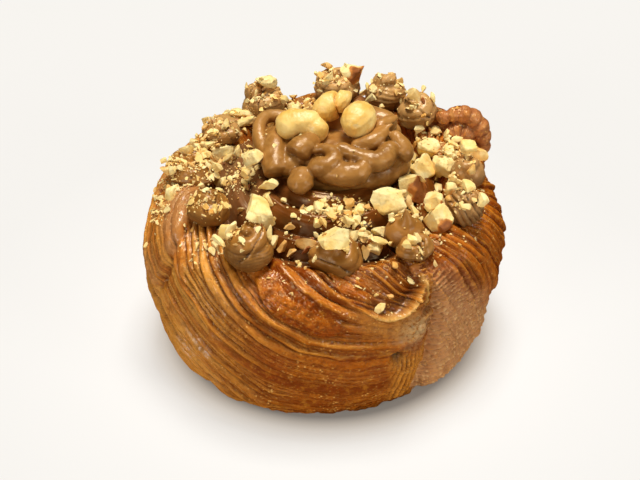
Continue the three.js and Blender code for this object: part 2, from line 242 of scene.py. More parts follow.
def closedFaces(rows, columns):  # quads over a grid that runs round, and fans to the two points after it
    ring, top, count = np.arange(columns), (rows - 1) * columns, rows * columns
    following = np.roll(ring, -1)
    row = np.arange(rows - 1)[:, None] * columns
    a, b = row + ring, row + following
    quads = np.stack([a, b, b + columns, a + columns], -1).reshape(-1, 4)
    low = np.stack([following, ring, np.full(columns, count)], -1)
    high = np.stack([np.full(columns, count + 1), ring + top, following + top], -1)
    return [quads, low, high]


def applied(mesh, *modifiers):  # a copy of the mesh with the modifiers worked in
    holder = addObject("holder", mesh)
    for kind, settings in modifiers:
        modifier = holder.modifiers.new(kind.title(), kind)
        for key, value in settings.items():
            setattr(modifier, key, value)
    depsgraph = bpy.context.evaluated_depsgraph_get()
    result = bpy.data.meshes.new_from_object(holder.evaluated_get(depsgraph))
    bpy.data.objects.remove(holder)
    return result


def smoothing(rounds):
    return "SMOOTH", {"factor": 0.5, "iterations": rounds}


def remeshed(name, points, faceSets, voxel, rounds):  # loose parts as one even skin
    rough = makeMesh(name + "Rough", points, faceSets)
    mesh = applied(rough, ("REMESH", {"mode": "VOXEL", "voxel_size": voxel * mm}), smoothing(rounds))
    bpy.data.meshes.remove(rough)
    mesh.name = name
    mesh.shade_smooth()
    return mesh


def meshArrays(mesh):  # points in mm, and their normals
    points = np.zeros(len(mesh.vertices) * 3, np.float32)
    mesh.vertices.foreach_get("co", points)
    normals = np.zeros(len(mesh.vertices) * 3, np.float32)
    mesh.vertex_normals.foreach_get("vector", normals)
    return points.reshape(-1, 3) / mm, normals.reshape(-1, 3)


def setPoints(mesh, points):
    mesh.vertices.foreach_set("co", (np.asarray(points) * mm).astype(np.float32).ravel())
    mesh.update()


def reliefOf(mesh, rounds):  # how far each point stands out from a smoothed copy, in mm
    points, normals = meshArrays(mesh)
    smooth = applied(mesh, smoothing(rounds))
    flatter = meshArrays(smooth)[0]
    bpy.data.meshes.remove(smooth)
    return np.einsum("ij,ij->i", points - flatter, normals)


def groundOf(pieces):  # ray targets of pieces that are in place
    bpy.context.view_layer.update()
    depsgraph = bpy.context.evaluated_depsgraph_get()
    return [BVHTree.FromObject(piece, depsgraph) for piece in pieces]


def firstHit(ground, start, way):  # the first point, in mm, that a ray meets, its normal and which piece it is on
    best = (None, None, -1, 1e9)
    for k, tree in enumerate(ground):
        place, normal, _, distance = tree.ray_cast(Vector(start) * mm, Vector(way))
        if place is not None and distance < best[3]:
            best = (place / mm, normal, k, distance)
    return best[:3]


def soften(values, reach):  # a blur over a grid, along rows and columns
    taps = np.arange(-reach, reach + 1)
    weights = np.exp(-(taps / (reach / 2)) ** 2)
    weights /= weights.sum()
    for axis in (0, 1):
        wide = np.pad(values, [(reach, reach) if i == axis else (0, 0) for i in (0, 1)], "edge")
        size = values.shape[axis]
        values = sum(w * np.take(wide, np.arange(size) + k, axis) for k, w in enumerate(weights))
    return values


def runOf(path):  # the length along a path up to each of its points
    return np.concatenate([[0], np.cumsum(np.linalg.norm(np.diff(path, axis=0), axis=1))])


def through(stops, steps):  # a smooth curve through the stops
    stops = np.array(stops, float)
    last = len(stops) - 1
    at = np.linspace(0, last, steps)
    i = np.minimum(at.astype(int), last - 1)
    w = (at - i)[:, None]
    p0, p1, p2, p3 = stops[np.maximum(i - 1, 0)], stops[i], stops[i + 1], stops[np.minimum(i + 2, last)]
    v0, v1 = (p2 - p0) / 2, (p3 - p1) / 2
    return (2 * p1 - 2 * p2 + v0 + v1) * w ** 3 + (3 * p2 - 3 * p1 - 2 * v0 - v1) * w ** 2 + v0 * w + p1


# soft solids from balls and tubes, joined by remeshing

def ballPoints(x, y, z, width, depth, height):
    rows, columns = 38, 64
    lat = np.linspace(-np.pi / 2, np.pi / 2, rows + 2)[1:-1, None]
    lon = np.linspace(0, 2 * np.pi, columns, endpoint=False)[None]
    up = np.broadcast_to(np.sin(lat), (rows, columns))
    ball = np.stack([np.cos(lat) * np.cos(lon), np.cos(lat) * np.sin(lon), up], -1)
    points = ball * np.array([width, depth, height]) / 2 + np.array([x, y, z])
    ends = np.array([[x, y, z - height / 2], [x, y, z + height / 2]])
    return np.concatenate([points.reshape(-1, 3), ends]), closedFaces(rows, columns)


def tubePoints(curve, blunt=1.0):  # a closed tube with rounded ends along a curve of x, y, z and radius
    columns, thinnest = 28, 0.25
    path, radius = curve[:, :3], np.maximum(curve[:, 3], thinnest)
    run = runOf(path)
    for gone, tip in ((run, radius[0] * blunt), (run[-1] - run, radius[-1] * blunt)):
        lack = np.clip(1 - gone / tip, 0, 1)
        radius = radius * np.sqrt(np.clip(1 - lack ** 2, 0.001, 1))
    tangent = np.gradient(path, axis=0)
    tangent /= np.linalg.norm(tangent, axis=1, keepdims=True)
    across = np.cross(tangent, (0.02, 0.03, 1))  # nearly upright, so never along the tube
    across /= np.linalg.norm(across, axis=1, keepdims=True)
    upward = np.cross(across, tangent)
    turn = np.linspace(0, 2 * np.pi, columns, endpoint=False)
    ring = across[:, None] * np.cos(turn)[None, :, None] + upward[:, None] * np.sin(turn)[None, :, None]
    points = (path[:, None] + ring * radius[:, None, None]).reshape(-1, 3)
    faces = [each[:, ::-1] for each in closedFaces(len(path), columns)]
    return np.concatenate([points, path[:1], path[-1:]]), faces


def joinParts(parts):
    points, faces, count = [], {}, 0
    for partPoints, partFaces in parts:
        points.append(partPoints)
        for each in partFaces:
            faces.setdefault(each.shape[1], []).append(each + count)
        count += len(partPoints)
    return np.concatenate(points), [np.concatenate(each) for each in faces.values()]


# the pastry: two strands of laminated dough that meet at the tucks

pastryPlan = {
    "foot": 40, "body": 51, "middle": 34, "rim": 40, "rimHeight": 50, "rimRise": 5.5, "rimHighSide": 120,
    "hollow": 32, "floor": 42, "rimShare": 0.845, "columns": 440, "rows": 205,
    "rollColumns": 7, "rollTurn": 3, "rollDepth": 4.5,  # how each strand's ends roll in at the tucks
    "strands": {  # where each is tucked in, and how much of the flap and pit it shows
        "frontStrand": {"tuck": -53, "seed": 100, "flap": 1.0, "pit": 1.0},
        "backStrand": {"tuck": 127, "seed": 200, "flap": 0.35, "pit": 0.3},
    },
    "foldDepth": 3.0, "fineDepth": 0.34, "tuckDepth": 3.4, "pocketDepth": 2.3, "pitDepth": 2.6,
    "lipHeight": 0.8, "lipArc": 42.4, "lipTurn": 13, "lipCurl": (0.055, 0.03),
    "lobeDepth": 2.0, "lobeFoot": 1.5, "lobeRow": 1.8, "lobeSpot": 1.15, "pleatTurn": 1.8,
    "mmPerDegree": 0.87, "layersFrom": 36,
    "stacks": ((11, (0.9, 3.3)), (17, (0.8, 3.0))), "fineStack": (12, (0.7, 1.5)),  # seed, width of layers
    "spots": {  # middle and reach in degrees from the tuck, then in mm up the side
        "knot": (6, 6.5, 35.6, 4.5), "swell": (9, 9, 25, 10), "pit": (13, 2.2, 27.5, 1.7),
    },
    "climbAt": (0, 15, 33, 48, 60, 72, 90, 110, 130, 147, 160, 180),  # degrees from the tuck
    "climb": (0.02, 0.05, 0.17, 0.36, 0.62, 0.62, 0.45, 0.5, 0.9, 1.4, 1.7, 2.1),
    "flapArc": (20, 36.9, 44.2, 52.5, 57.8, 66), "flapAt": (110, 101, 97, 98, 102, 108),
    "hues": {
        "golden": (192, 96, 1), "rose": (140, 60, 12), "amber": (162, 66, 0), "low": (140, 68, 2),
        "leftRose": (214, 124, 46), "leftGolden": (255, 182, 80), "fan": (226, 148, 54), "collar": (206, 136, 56),
        "dull": (226, 160, 104), "flapLow": (210, 148, 92), "flapHigh": (208, 124, 42),
        "mottleDark": (116, 50, 4), "mottleLight": (232, 152, 44), "gritDark": (114, 48, 2),
        "gritLight": (240, 166, 58), "dark": (88, 31, 3), "hair": (110, 48, 6), "groove": (128, 56, 10),
        "pocket": (98, 38, 2), "pit": (44, 20, 8), "crest": (222, 136, 34), "pale": (232, 154, 58),
        "underside": (94, 36, 4), "upside": (240, 164, 66), "lip": (244, 188, 100), "crumb": (232, 194, 134),
        "lobeLight": (216, 166, 116), "wrinkle": (134, 74, 30), "speck": (248, 200, 136), "dot": (242, 178, 88),
        "film": (178, 122, 72),
    },
}


def sideProfile(plan):
    foot, body, middle, rim = plan["foot"], plan["body"], plan["middle"], plan["rim"]
    top, hollow, floor = plan["rimHeight"], plan["hollow"], plan["floor"]
    corners = [
        (foot, 0), (between(foot, body, 0.55), 0.16 * middle), (between(foot, body, 0.9), 0.55 * middle),
        (body, middle), (between(rim, body, 0.75), between(middle, top, 0.68)), (rim, top),
        (between(hollow, rim, 0.4), between(floor, top, 0.7)), (hollow, floor),
    ]
    curve = through(corners, 4001)
    length = runOf(curve)
    arcs = np.linspace(0, length[-1], plan["rows"] + 1)
    side = np.stack([np.interp(arcs, length, curve[:, k]) for k in (0, 1)], -1)
    tangent = np.gradient(side, arcs, axis=0)
    return side, tangent / np.linalg.norm(tangent, axis=1, keepdims=True), arcs


def layerAt(plan, inside, arc):  # how far up the stack of layers a point lies, in mm across them
    step = 0.25
    degrees = np.arange(0, 180.1, step)
    slope = np.interp(degrees, plan["climbAt"], plan["climb"])
    spread = np.sqrt(1 + (slope / plan["mmPerDegree"]) ** 2) * (1 + 0.0025 * degrees)
    climbed = np.concatenate([[0], np.cumsum((slope / spread)[1:] * step)])
    c = (arc - plan["layersFrom"]) / np.interp(inside, degrees, spread) - np.interp(inside, degrees, climbed)
    squeeze = 1 / (1 + np.maximum(0, inside - 12) / 14) + np.maximum(0, 12 - inside) / 14
    return c - (1 - squeeze) * np.log1p(np.exp(c))


def bandStack(seed, widths):  # layers of uneven width: where each starts, and its own draw of numbers
    rng = np.random.default_rng(seed)
    edges = [-115.0]
    while edges[-1] < 55:
        edges.append(edges[-1] + between(widths[0], widths[1], rng.random() ** 1.5))
    return np.array(edges), rng.random((len(edges), 4))


def acrossBands(stack, c):
    edges, draws = stack
    k = np.clip(np.searchsorted(edges, c) - 1, 0, len(edges) - 2)
    width = edges[k + 1] - edges[k]
    return (c - edges[k]) / width, width, draws[k]


def tiles(stack, c):  # layers that lap like tiles: each rises to a crisp edge, then drops to the next
    u, width, draw = acrossBands(stack, c)
    u = np.where(draw[..., 1] > 0.72, 1 - u, u)
    rise = np.clip(1 - np.abs(2 * u - 1) ** 2.4, 0, 1) ** 0.6 * (0.7 + 0.45 * u)
    tall = between(0.45, 1.0, draw[..., 0]) * np.clip(width / 1.9, 0.45, 1.1)
    gap = np.exp(-((1 - u) * width / 0.24) ** 2)
    crisp = np.exp(-((u - 0.8) * width / 0.3) ** 2)
    return np.stack([rise * tall, gap, crisp, draw[..., 2], draw[..., 3]])


def crustRelief(plan, strand, t, arc, angle, place):
    seed, inside = strand["seed"], np.clip(t, 0, 180)
    girth = inside * plan["mmPerDegree"]
    wobble = lambda size, k: lumps(place, size, seed + k)

    def spot(name):
        turnAt, turnReach, arcAt, arcReach = plan["spots"][name]
        return bell(inside, turnAt, turnReach) * bell(arc, arcAt, arcReach)

    lobeEdge = 26 + 0.75 * (inside - 145) - arc + 2 * wobble(7, 18) + 4 * wobble(18, 22)
    lobe = ease(lobeEdge, -8, 11) * ease(inside, 104, 130)
    fan = window(arc, 2, 8, 24, 31) * (1 - ease(inside, 11, 17))
    knot = spot("knot")

    # the layers: two stacks that take over from one another, so that ridges start and end
    c = layerAt(plan, inside, arc) + 0.9 * wobble(15, 0) + 0.35 * wobble(6, 1)
    alongLayers = lambda up, on, k: lumps(np.stack([c / up, girth / on, np.full_like(c, seed)], -1), 1, seed + k)
    run = alongLayers(2.5, 13, 2)
    swap = ease(alongLayers(5, 26, 20), -0.1, 0.1)
    first, second = (tiles(bandStack(*stack), c) for stack in plan["stacks"])
    rise, gap, crisp, tone, glint = between(first, second, swap)
    folds = plan["foldDepth"] * (rise * (0.85 + 0.4 * run) - 0.5)
    u, _, fineDraw = acrossBands(bandStack(*plan["fineStack"]), c + 0.25 * wobble(3, 3))
    fineCrest = np.clip(1 - np.abs(2 * u - 1) ** 2.2, 0, 1) ** 0.7
    fine = plan["fineDepth"] * fineDraw[..., 0] * (fineCrest - 0.5) * np.clip(0.6 + 0.9 * run, 0, 1.2)
    calm = (1 - ease(inside, 30, 82)) * (1 - ease(arc, 28, 40))  # the low front is nearly flat
    sheet = ease(1 - ((inside - 46) / 17) ** 2 - ((c - 0.3) / 2.3) ** 2, 0, 0.3)  # a smooth skin at the front
    folds = folds * (1 - 0.85 * calm) * (1 - 0.85 * sheet) * (1 - 0.35 * ease(inside, 108, 130))
    fine = fine * (1 - 0.8 * sheet) * (1 - 0.35 * calm)

    # the tuck: a groove, a pocket above its lip, a swell and a pit below
    aside = np.minimum(inside, 180 - inside)
    groove = -plan["tuckDepth"] * bell(aside, 0, 4) * (1 - ease(arc, 40, 50)) * (1 - 0.7 * knot)
    offLip = inside - plan["lipTurn"]
    above = arc - (plan["lipArc"] + np.where(offLip < 0, *plan["lipCurl"]) * offLip ** 2)
    mouth = window(inside, 0, 5, 19, 26)
    behind = np.maximum(above, 0) / 3.5
    deep = plan["pocketDepth"] * (1.5 - 0.8 * ease(inside, 6, 18))  # deepest at the right end
    pocket = np.where(above > 0, -deep * behind * np.exp(1 - behind) - plan["lipHeight"] * ease(above, 0, 0.5),
                      plan["lipHeight"] * np.exp(np.minimum(above, 0) / 3))
    shade = mouth * window(above, 0.1, 0.5, 2, 7)
    lip = bell(above, -0.35, 0.36) * mouth
    sideLip = bell(inside, 1.2, 0.55) * window(arc, 40, 43, 50, 54)
    pit = spot("pit") * strand["pit"]
    inPocket = mouth * window(above, 0, 2, 12, 22)
    collar = (1 - ease(inside, 20, 36)) * window(-above, -0.4, 0.8, 6, 11)  # smooth dough below the lip

    # a fan of thin pleats below the knot, and a flap that folds over the shoulder
    pleatTurn = inside / plan["pleatTurn"] + 0.014 * (arc - 20) * (inside - 6) + 0.4 * wobble(5, 4)
    pleats = 1.1 * (np.abs(np.cos(np.pi * pleatTurn)) - 0.6) * (1 + 0.5 * wobble(4, 14))
    past = inside - (np.interp(arc, plan["flapArc"], plan["flapAt"]) + 0.8 * wobble(9, 5))
    shoulder = window(arc, 24, 36, 58, 66) * strand["flap"]
    flap = window(past, -1.2, 2.2, 9, 28) * shoulder
    underFlap = bell(past, -1.4, 1.0) * shoulder

    # broad lumps, the lobe with its rows of specks, blisters and crumb
    twoLumps = 0.8 * np.sin(np.radians(2 * angle + 40))
    threeLumps = 0.6 * np.sin(np.radians(3 * angle - 20) + arc / 15)
    sway = 0.03 * (arc - 38) * np.cos(np.radians(angle))
    inset = lobe * between(-plan["lobeFoot"], plan["lobeDepth"], ease(arc, 8, 30))
    row = (arc + 0.18 * inside + 1.1 * wobble(7, 17) + 0.3 * wobble(2.5, 21)) / plan["lobeRow"]
    seat = girth / plan["lobeSpot"] + 0.61 * np.floor(row) + 0.4 * wobble(2.5, 19)
    draw = cellDraw(np.stack([np.floor(row), np.floor(seat), 0 * row], -1), seed)
    ridge = np.cos(2 * np.pi * (row - 0.5)) * lobe
    offRow, offSeat = (row % 1 - 0.5) * plan["lobeRow"], (seat % 1 - 0.5) * plan["lobeSpot"]
    speck = bell(offRow, 0, 0.34) * bell(offSeat, 0, 0.4) * np.clip(1.2 * draw + 0.2, 0, 1) * lobe
    blisters = np.abs(wobble(2.2, 6)) * 0.5 + 0.4 * np.abs(wobble(1.2, 7)) - 0.25
    blisters = blisters * (0.7 * lobe + 0.7 * sheet + 0.35 * glint + 0.35 * calm + 0.3 * collar)
    crumb = knot * (0.8 * np.abs(wobble(2.6, 8)) + 0.5 * wobble(1.2, 9))
    lumpy = 0.35 * wobble(11, 10) + 0.12 * wobble(2.2, 11)

    plain = 1 - np.clip(0.55 * lobe + 0.8 * knot + 0.5 * flap + 0.72 * collar, 0, 0.92)
    layers = between((folds + fine) * plain * (1 - 0.55 * inPocket), pleats, fan)
    out = (twoLumps + threeLumps + sway - inset + layers + groove + mouth * pocket + 0.8 * lip + 0.9 * sideLip
           + 1.1 * spot("swell") - plan["pitDepth"] * pit + 1.3 * flap - 0.6 * underFlap + blisters
           + 0.3 * speck + 0.34 * ridge + crumb + lumpy)
    seam = plain * (1 - fan) * (1 - sheet) * np.clip(0.6 + 0.6 * run, 0, 1)
    # painted shade in the gaps between the layers and behind the lip
    split = np.maximum(gap * seam * (1 - 0.6 * calm) * (1 - 0.6 * lobe), 0.9 * shade)
    return out, {
        "layer": c, "along": girth, "toneDraw": tone, "glint": glint * (1 - lobe) * (1 - fan), "lobe": lobe,
        "fan": fan, "knot": knot, "sheet": sheet, "lip": np.maximum(lip, sideLip), "flap": flap,
        "collar": collar, "pocket": inPocket, "pit": pit, "calm": calm, "speck": speck, "split": split,
        # brim: the crisp edges of the layers, read for painted highlight
        "brim": crisp * seam,
    }


def makeStrand(name, plan, strand):
    side, tangent, arcs = sideProfile(plan)
    roll = np.linspace(0, 1, plan["rollColumns"] + 1)[1:] * np.pi / 2
    ring = np.linspace(180, 0, plan["columns"])
    t = np.concatenate([180 + plan["rollTurn"] * np.sin(roll[::-1]), ring, -plan["rollTurn"] * np.sin(roll)])
    sunk = np.concatenate([1 - np.cos(roll[::-1]), np.zeros(len(ring)), 1 - np.cos(roll)]) * plan["rollDepth"]
    angle = np.broadcast_to(strand["tuck"] - t, (len(arcs), len(t)))
    arc = np.broadcast_to(arcs[:, None], angle.shape)
    turn = np.radians(angle)
    high = 0.5 + 0.5 * np.cos(turn - math.radians(plan["rimHighSide"]))
    rise = plan["rimRise"] * ease(arc / arcs[-1], 0.4, 0.85) * high
    place = np.stack([side[:, :1] * np.cos(turn), side[:, :1] * np.sin(turn), side[:, 1:] + rise], -1)
    out, marks = crustRelief(plan, strand, np.broadcast_to(t, angle.shape), arc, angle, place)
    seed = strand["seed"]
    ragged = (0.9 * lumps(place, 3.5, seed + 15) + 0.6 * lumps(place, 1.6, seed + 16)) * (1 - ease(arc, 1, 7))
    out = (out * ease(arc, 0, 5) + ragged) * (1 - ease(arc, plan["rimShare"] * arcs[-1], arcs[-1]))

    # what the finish reads: hollows and slopes that face up or down, for painted shade and highlight, and the smear
    # of cream
    smooth = np.clip(marks["collar"] + marks["lip"], 0, 1)
    marks["cavity"] = np.clip((out - soften(out, 6)) / 0.6, -1, 1) * (1 - 0.8 * smooth)
    sheltered = np.clip(marks["collar"] + marks["pocket"], 0, 1)
    slope = np.gradient(soften(out, 1), arcs, axis=0)
    marks["upward"] = np.clip(-slope / 0.9, -1, 1) * (1 - 0.6 * sheltered)
    out = out - sunk * (0.35 + 0.65 * (1 - ease(arc, 48, 56)))
    r = side[:, :1] + out * tangent[:, 1:]
    z = np.maximum(side[:, 1:] - out * tangent[:, :1] + rise, 0)
    points = np.stack([r * np.cos(turn), r * np.sin(turn), z], -1)
    smear = ease(-points[..., 0], 30, 44) * ease(z, 40, 50) + ease(z, 51, 55)
    marks["smear"] = np.clip(smear + 0.5 * lumps(points, 9, 40) + 0.3 * lumps(points, 3, 41) - 0.25, 0, 1)
    marks["level"] = z / 55

    # the hidden inner edge closes each strand into one solid
    core = points[:, [0, -1]] * np.array([0.5, 0.5, 1])
    points = np.concatenate([core[:, :1], points, core[:, 1:]], 1)
    caps = np.stack([points[0].mean(0), points[-1].mean(0)])
    for key, v in marks.items():
        v = np.concatenate([v[:, :1], v, v[:, -1:]], 1)
        marks[key] = np.append(v.ravel(), [v[0].mean(), v[-1].mean()])
    return makeMesh(name, np.concatenate([points.reshape(-1, 3), caps]), closedFaces(*points.shape[:2]), marks)


def crustFinish(plan):
    f = Finish("bakedCrust", plan["hues"])
    cavity, layer, along, level, upward = f.marks("cavity", "layer", "along", "level", "upward")
    lobe, knot, sheet, fan, glint, calm = f.marks("lobe", "knot", "sheet", "fan", "glint", "calm")
    lines = f.grain(1.0, 3.0, f.stretch(layer * 1.7, along * 0.2, 0.0))
    hair = f.grain(1.0, 2.0, f.stretch(layer * 5.0, along * 0.5, 3.0))
    wrinkles = f.grain(1.0, 1.5, f.stretch(level * 62.0, along * 0.5, 7.0))
    patchy, mottle = f.grain(0.010, 3.0), f.grain(0.0024, 4.0, roughness=0.65)
    gritty = f.grain(0.0008, 3.0, roughness=0.7)
    # pale dots: sugar flecks and painted glints
    sugarGlints = f.step(f.cells(0.0011), 0.34, 0.16) * f.step(f.grain(0.004, 3.0), 0.46, 0.6)
    tone = f.step(f.mark("toneDraw") + (lines - 0.5) * 0.9, 0.25, 0.7)
    film = f.step(f.mark("smear"), 0.35, 0.75)
    crisp = f.step(cavity, 0.2, 0.95) * f.step(gritty, 0.4, 0.6)

    # bands of golden and rose, paler at the left, with amber where the skin is smooth
    base = f.paint(
        f.blend(tone, "rose", "golden"),
        (f.step(patchy + 0.12 * sheet + 0.06 * calm, 0.48, 0.72) * 0.7, "amber"),
        (f.step(level, 0.55, 0.05) * 0.4, "low"),
        (f.step(f.side("X"), -0.014, -0.04) * 0.84, f.blend(tone, "leftRose", "leftGolden")),
        (fan * 0.8, "fan"),
        (f.mark("collar") * f.step(patchy, 0.3, 0.6) * 0.7, "collar"),
        (lobe * 0.85, "dull"),
        (f.mark("flap") * 0.55, f.blend(f.step(level, 0.6, 0.85), "flapLow", "flapHigh")),
        (f.step(mottle, 0.53, 0.36) * (0.45 + 0.3 * sheet - 0.3 * lobe), "mottleDark"),
        (f.step(mottle, 0.53, 0.68) * 0.4, "mottleLight"),
        (f.step(gritty, 0.5, 0.3) * (0.35 - 0.25 * lobe), "gritDark"),
        (f.step(gritty, 0.58, 0.72) * 0.45, "gritLight"))

    # dark lines, and painted shade in the dark gaps between the layers, the hollows, the pocket and the pit; painted
    # highlights on crests, crisp edges and slopes that face up, painted shade on slopes that face down; crumb,
    # specks and sugar flecks with painted glints
    base = f.paint(
        base,
        (f.step(lines, 0.46, 0.3) * (0.14 - 0.08 * calm), "dark"),
        (f.step(hair, 0.44, 0.3) * (0.1 - 0.06 * calm), "hair"),
        # painted shade in the hollows
        (f.step(cavity, 0.05, -0.55) * (0.65 - 0.4 * lobe - 0.25 * fan), "groove"),
        (f.step(cavity, -0.4, -1.0) * (0.62 - 0.35 * lobe), "dark"),
        # painted shade in the gaps and behind the lip
        (f.mark("split") * 0.5, "dark"),
        # painted shade inside the pocket and in the pit
        (f.mark("pocket") * 0.55, "pocket"),
        (f.mark("pit") * 0.9, "pit"),
        # painted highlights on the crests and crisp edges
        (f.step(cavity, 0.1, 0.8) * (0.55 - 0.4 * lobe), "crest"),
        (crisp * 0.4 + f.mark("brim") * f.step(hair, 0.35, 0.6) * 0.35, "pale"),
        # painted shade on slopes that face down, painted highlight on slopes that face up
        (f.step(upward, -0.15, -0.9) * (0.4 - 0.25 * lobe), "underside"),
        (f.step(upward, 0.3, 0.95) * f.step(hair, 0.36, 0.56) * (0.22 - 0.1 * lobe), "upside"),
        (f.mark("lip") * 0.9, "lip"),
        (knot * f.step(gritty, 0.36, 0.54) * 0.75, "crumb"),
        (lobe * f.step(mottle, 0.5, 0.64) * 0.4, "lobeLight"),
        (lobe * f.step(wrinkles, 0.44, 0.3) * 0.4, "wrinkle"),
        (f.step(f.mark("speck"), 0.1, 0.6) * 0.75, "speck"),
        (sugarGlints * (glint * 0.6 + tone * 0.55 + lobe * 0.75 + calm * 0.35), "dot"),
        (film * 0.65, "film"))

    rough = 0.16 + 0.08 * tone + 0.14 * lobe + 0.12 * patchy + 0.12 * film
    glaze = f.step(patchy, 0.3, 0.6) * f.step(gritty, 0.4, 0.62) * (0.75 - 0.6 * lobe)
    layerBump = f.bump((lines - 0.5) * 0.6 + (hair - 0.5) * 0.5, 0.0009, 0.6)
    crackle = gritty * (0.3 + 0.8 * tone - 0.5 * lobe) + mottle * 0.7 + wrinkles * lobe * 0.8 + sugarGlints * 0.6
    return f.close(color=base, roughness=rough, normal=f.bump(crackle, 0.0006, 0.42, layerBump),
                   specular=0.7, gloss=(1, 0.78, 0.38, 1), coat=glaze, coatRoughness=0.14)


crust = crustFinish(pastryPlan)
strands = []
for name, strand in pastryPlan["strands"].items():
    strandMesh = makeStrand(name, pastryPlan, strand)
    strands.append(addPiece(name, strandMesh, crust, ["pastry"]))
    print(name, len(strandMesh.polygons), "faces")


# the scalloped end of the dough strip, which stands above the rim at the back

knobPlan = {
    "voxel": 0.36, "smooth": 1, "lobes": 9, "button": (39.3, 22.5, 51.2), "creases": 5, "creaseDepth": 1.1,
    "rope": [  # x, y, z, radius
        (35, 25.5, 57.4, 2.1), (39, 25.5, 58.4, 2.5), (43, 26, 57.2, 2.7), (45.8, 25.8, 53.8, 2.8),
        (46.9, 25.4, 49.6, 2.8), (46.6, 25, 45.2, 2.6), (45.6, 24, 41, 2.3),
    ],
    "mounds": [  # x, y, z, width, depth, height
        (40.5, 31, 48, 14, 11, 18), (39.3, 24.2, 51.2, 10.5, 8, 9.5), (36, 27, 50, 9, 8, 12),
        (32.5, 30, 50, 12, 9, 15),
    ],
    "bare": ("fan", "knot", "sheet", "collar", "lip", "flap", "pit", "smear", "calm", "brim", "split", "upward",
             "speck"),  # marks of the strands that it has none of
}


def makeKnob(plan):
    parts = [ballPoints(*mound) for mound in plan["mounds"]]
    parts.append(tubePoints(through(plan["rope"], 60) * np.array([1, 1, 1, 0.7])))
    for k, (x, y, z, r) in enumerate(through(plan["rope"], plan["lobes"])):
        size = 2 * r * (1 + 0.1 * math.sin(5 * k))
        parts.append(ballPoints(x, y, z, size, size * 1.1, size))
    mesh = remeshed("scallopedEnd", *joinParts(parts), plan["voxel"], plan["smooth"])
    points, normals = meshArrays(mesh)
    away = points - np.array(plan["button"])
    around = np.arctan2(away[:, 2], away[:, 0])
    reach = np.linalg.norm(away * np.array([1, 0.6, 1]), axis=1)
    button = 1 - ease(reach, 4.4, 5.6)
    crease = np.abs(np.cos(plan["creases"] / 2 * around + 0.5 * lumps(points, 4, 60))) ** 8
    shove = -plan["creaseDepth"] * button * crease * ease(reach, 0.5, 2)
    shove = shove + 0.25 * (1 - button) * lumps(points, 2.2, 61)
    setPoints(mesh, points + normals * (shove + 0.12 * lumps(points, 1.1, 62))[:, None])
    relief = reliefOf(mesh, 14)
    behind = ease(points[:, 1], 27, 30)
    marks = dict.fromkeys(plan["bare"], 0.0)
    # cavity gives painted shade in the hollows and painted highlight on the crests; pocket paints shade in the
    # hollows at its right
    marks.update({
        "cavity": np.clip(relief / 0.24, -1, 1), "layer": between(4 * around, 1.2 * points[:, 2], behind),
        "along": reach, "toneDraw": 0.45, "glint": 0.4, "level": 0.9, "lobe": 0.45 * (1 - behind),
        "pocket": ease(points[:, 0] + 3 * lumps(points, 3, 63), 43, 47) * ease(relief, 0.1, -0.2),
    })
    for key, values in marks.items():
        addMark(mesh, key, np.zeros(len(points)) + values)
    return mesh


knobPiece = addPiece("scallopedEnd", makeKnob(knobPlan), crust, ["pastry"])
print("scalloped end")


# the coil of dark spread in the hollow

spreadPlan = {
    "radius": 35, "top": 57, "edge": 46, "sunk": 39, "pitch": 7.5, "depth": 1.7, "leftRise": 2.5,
    "rows": 90, "columns": 300,
    "hues": {"deep": (66, 28, 3), "crest": (122, 64, 16), "middle": (124, 70, 24), "left": (140, 94, 54)},
}


def makeSpread(plan):
    r = np.linspace(0, plan["radius"], plan["rows"] + 1)[1:][::-1, None]
    turn = np.linspace(-np.pi, np.pi, plan["columns"], endpoint=False)[None]
    x, y = r * np.cos(turn), r * np.sin(turn)
    place = np.stack([x, y, np.zeros_like(x)], -1)
    level = between(plan["edge"], plan["top"], np.sin((1 - r / plan["radius"]) * np.pi / 2))
    leftSide = ease(-x, 8, 22) * window(y, -22, -6, 18, 28)
    level = level + plan["leftRise"] * leftSide
    turns = r / plan["pitch"] - turn / (2 * np.pi) + 0.05 * lumps(place, 9, 71)
    wave = np.abs(np.cos(np.pi * turns)) ** 0.8 * 2 - 1.1
    ribs = 0.16 * np.cos(2 * np.pi * turns * 4 + 2 * lumps(place, 8, 72))
    z = level + (plan["depth"] * wave + ribs) * ease(r, 2, 10) + 0.25 * lumps(place, 6, 73)
    points = np.stack([x, y, z], -1)
    low = points[:1].copy()
    low[..., 2] = plan["sunk"]
    points = np.concatenate([low, points])
    ends = np.array([[0, 0, plan["sunk"]], [0, 0, plan["top"]]])
    carried = lambda grid, atEnds: np.append(np.concatenate([grid[:1], grid]).ravel(), atEnds)
    marks = {"wave": carried(wave, [0, 0]), "leftSide": carried(leftSide, [0, 0]),
             "outward": carried(np.broadcast_to(r / plan["radius"], x.shape), [1, 0])}
    faces = closedFaces(*points.shape[:2])
    return makeMesh("spreadCoil", np.concatenate([points.reshape(-1, 3), ends]), faces, marks)


def spreadFinish(plan):
    f = Finish("darkSpread", plan["hues"])
    wave, cloudy, streak = f.mark("wave"), f.grain(0.009, 3.0), f.grain(0.0022, 2.0)
    # the lighter brown goes on random clouds and on the coil's crests, partly a painted highlight with painted shade
    # in the troughs; the left band is painted lighter, as if lit where it faces up
    base = f.paint(
        f.blend(f.step(cloudy + 0.25 * wave, 0.3, 0.9), "deep", "crest"),
        (f.step(f.mark("outward"), 0.75, 0.45) * 0.65, "middle"),
        (f.mark("leftSide") * 0.75, "left"))
    return f.close(color=base, roughness=0.16 + 0.16 * cloudy, normal=f.bump(streak, 0.0002, 0.35),
                   specular=0.55, gloss=(1, 0.78, 0.46, 1))


spreadPiece = addPiece("spreadCoil", makeSpread(spreadPlan), spreadFinish(spreadPlan), ["spread_coil"])
print("spread")
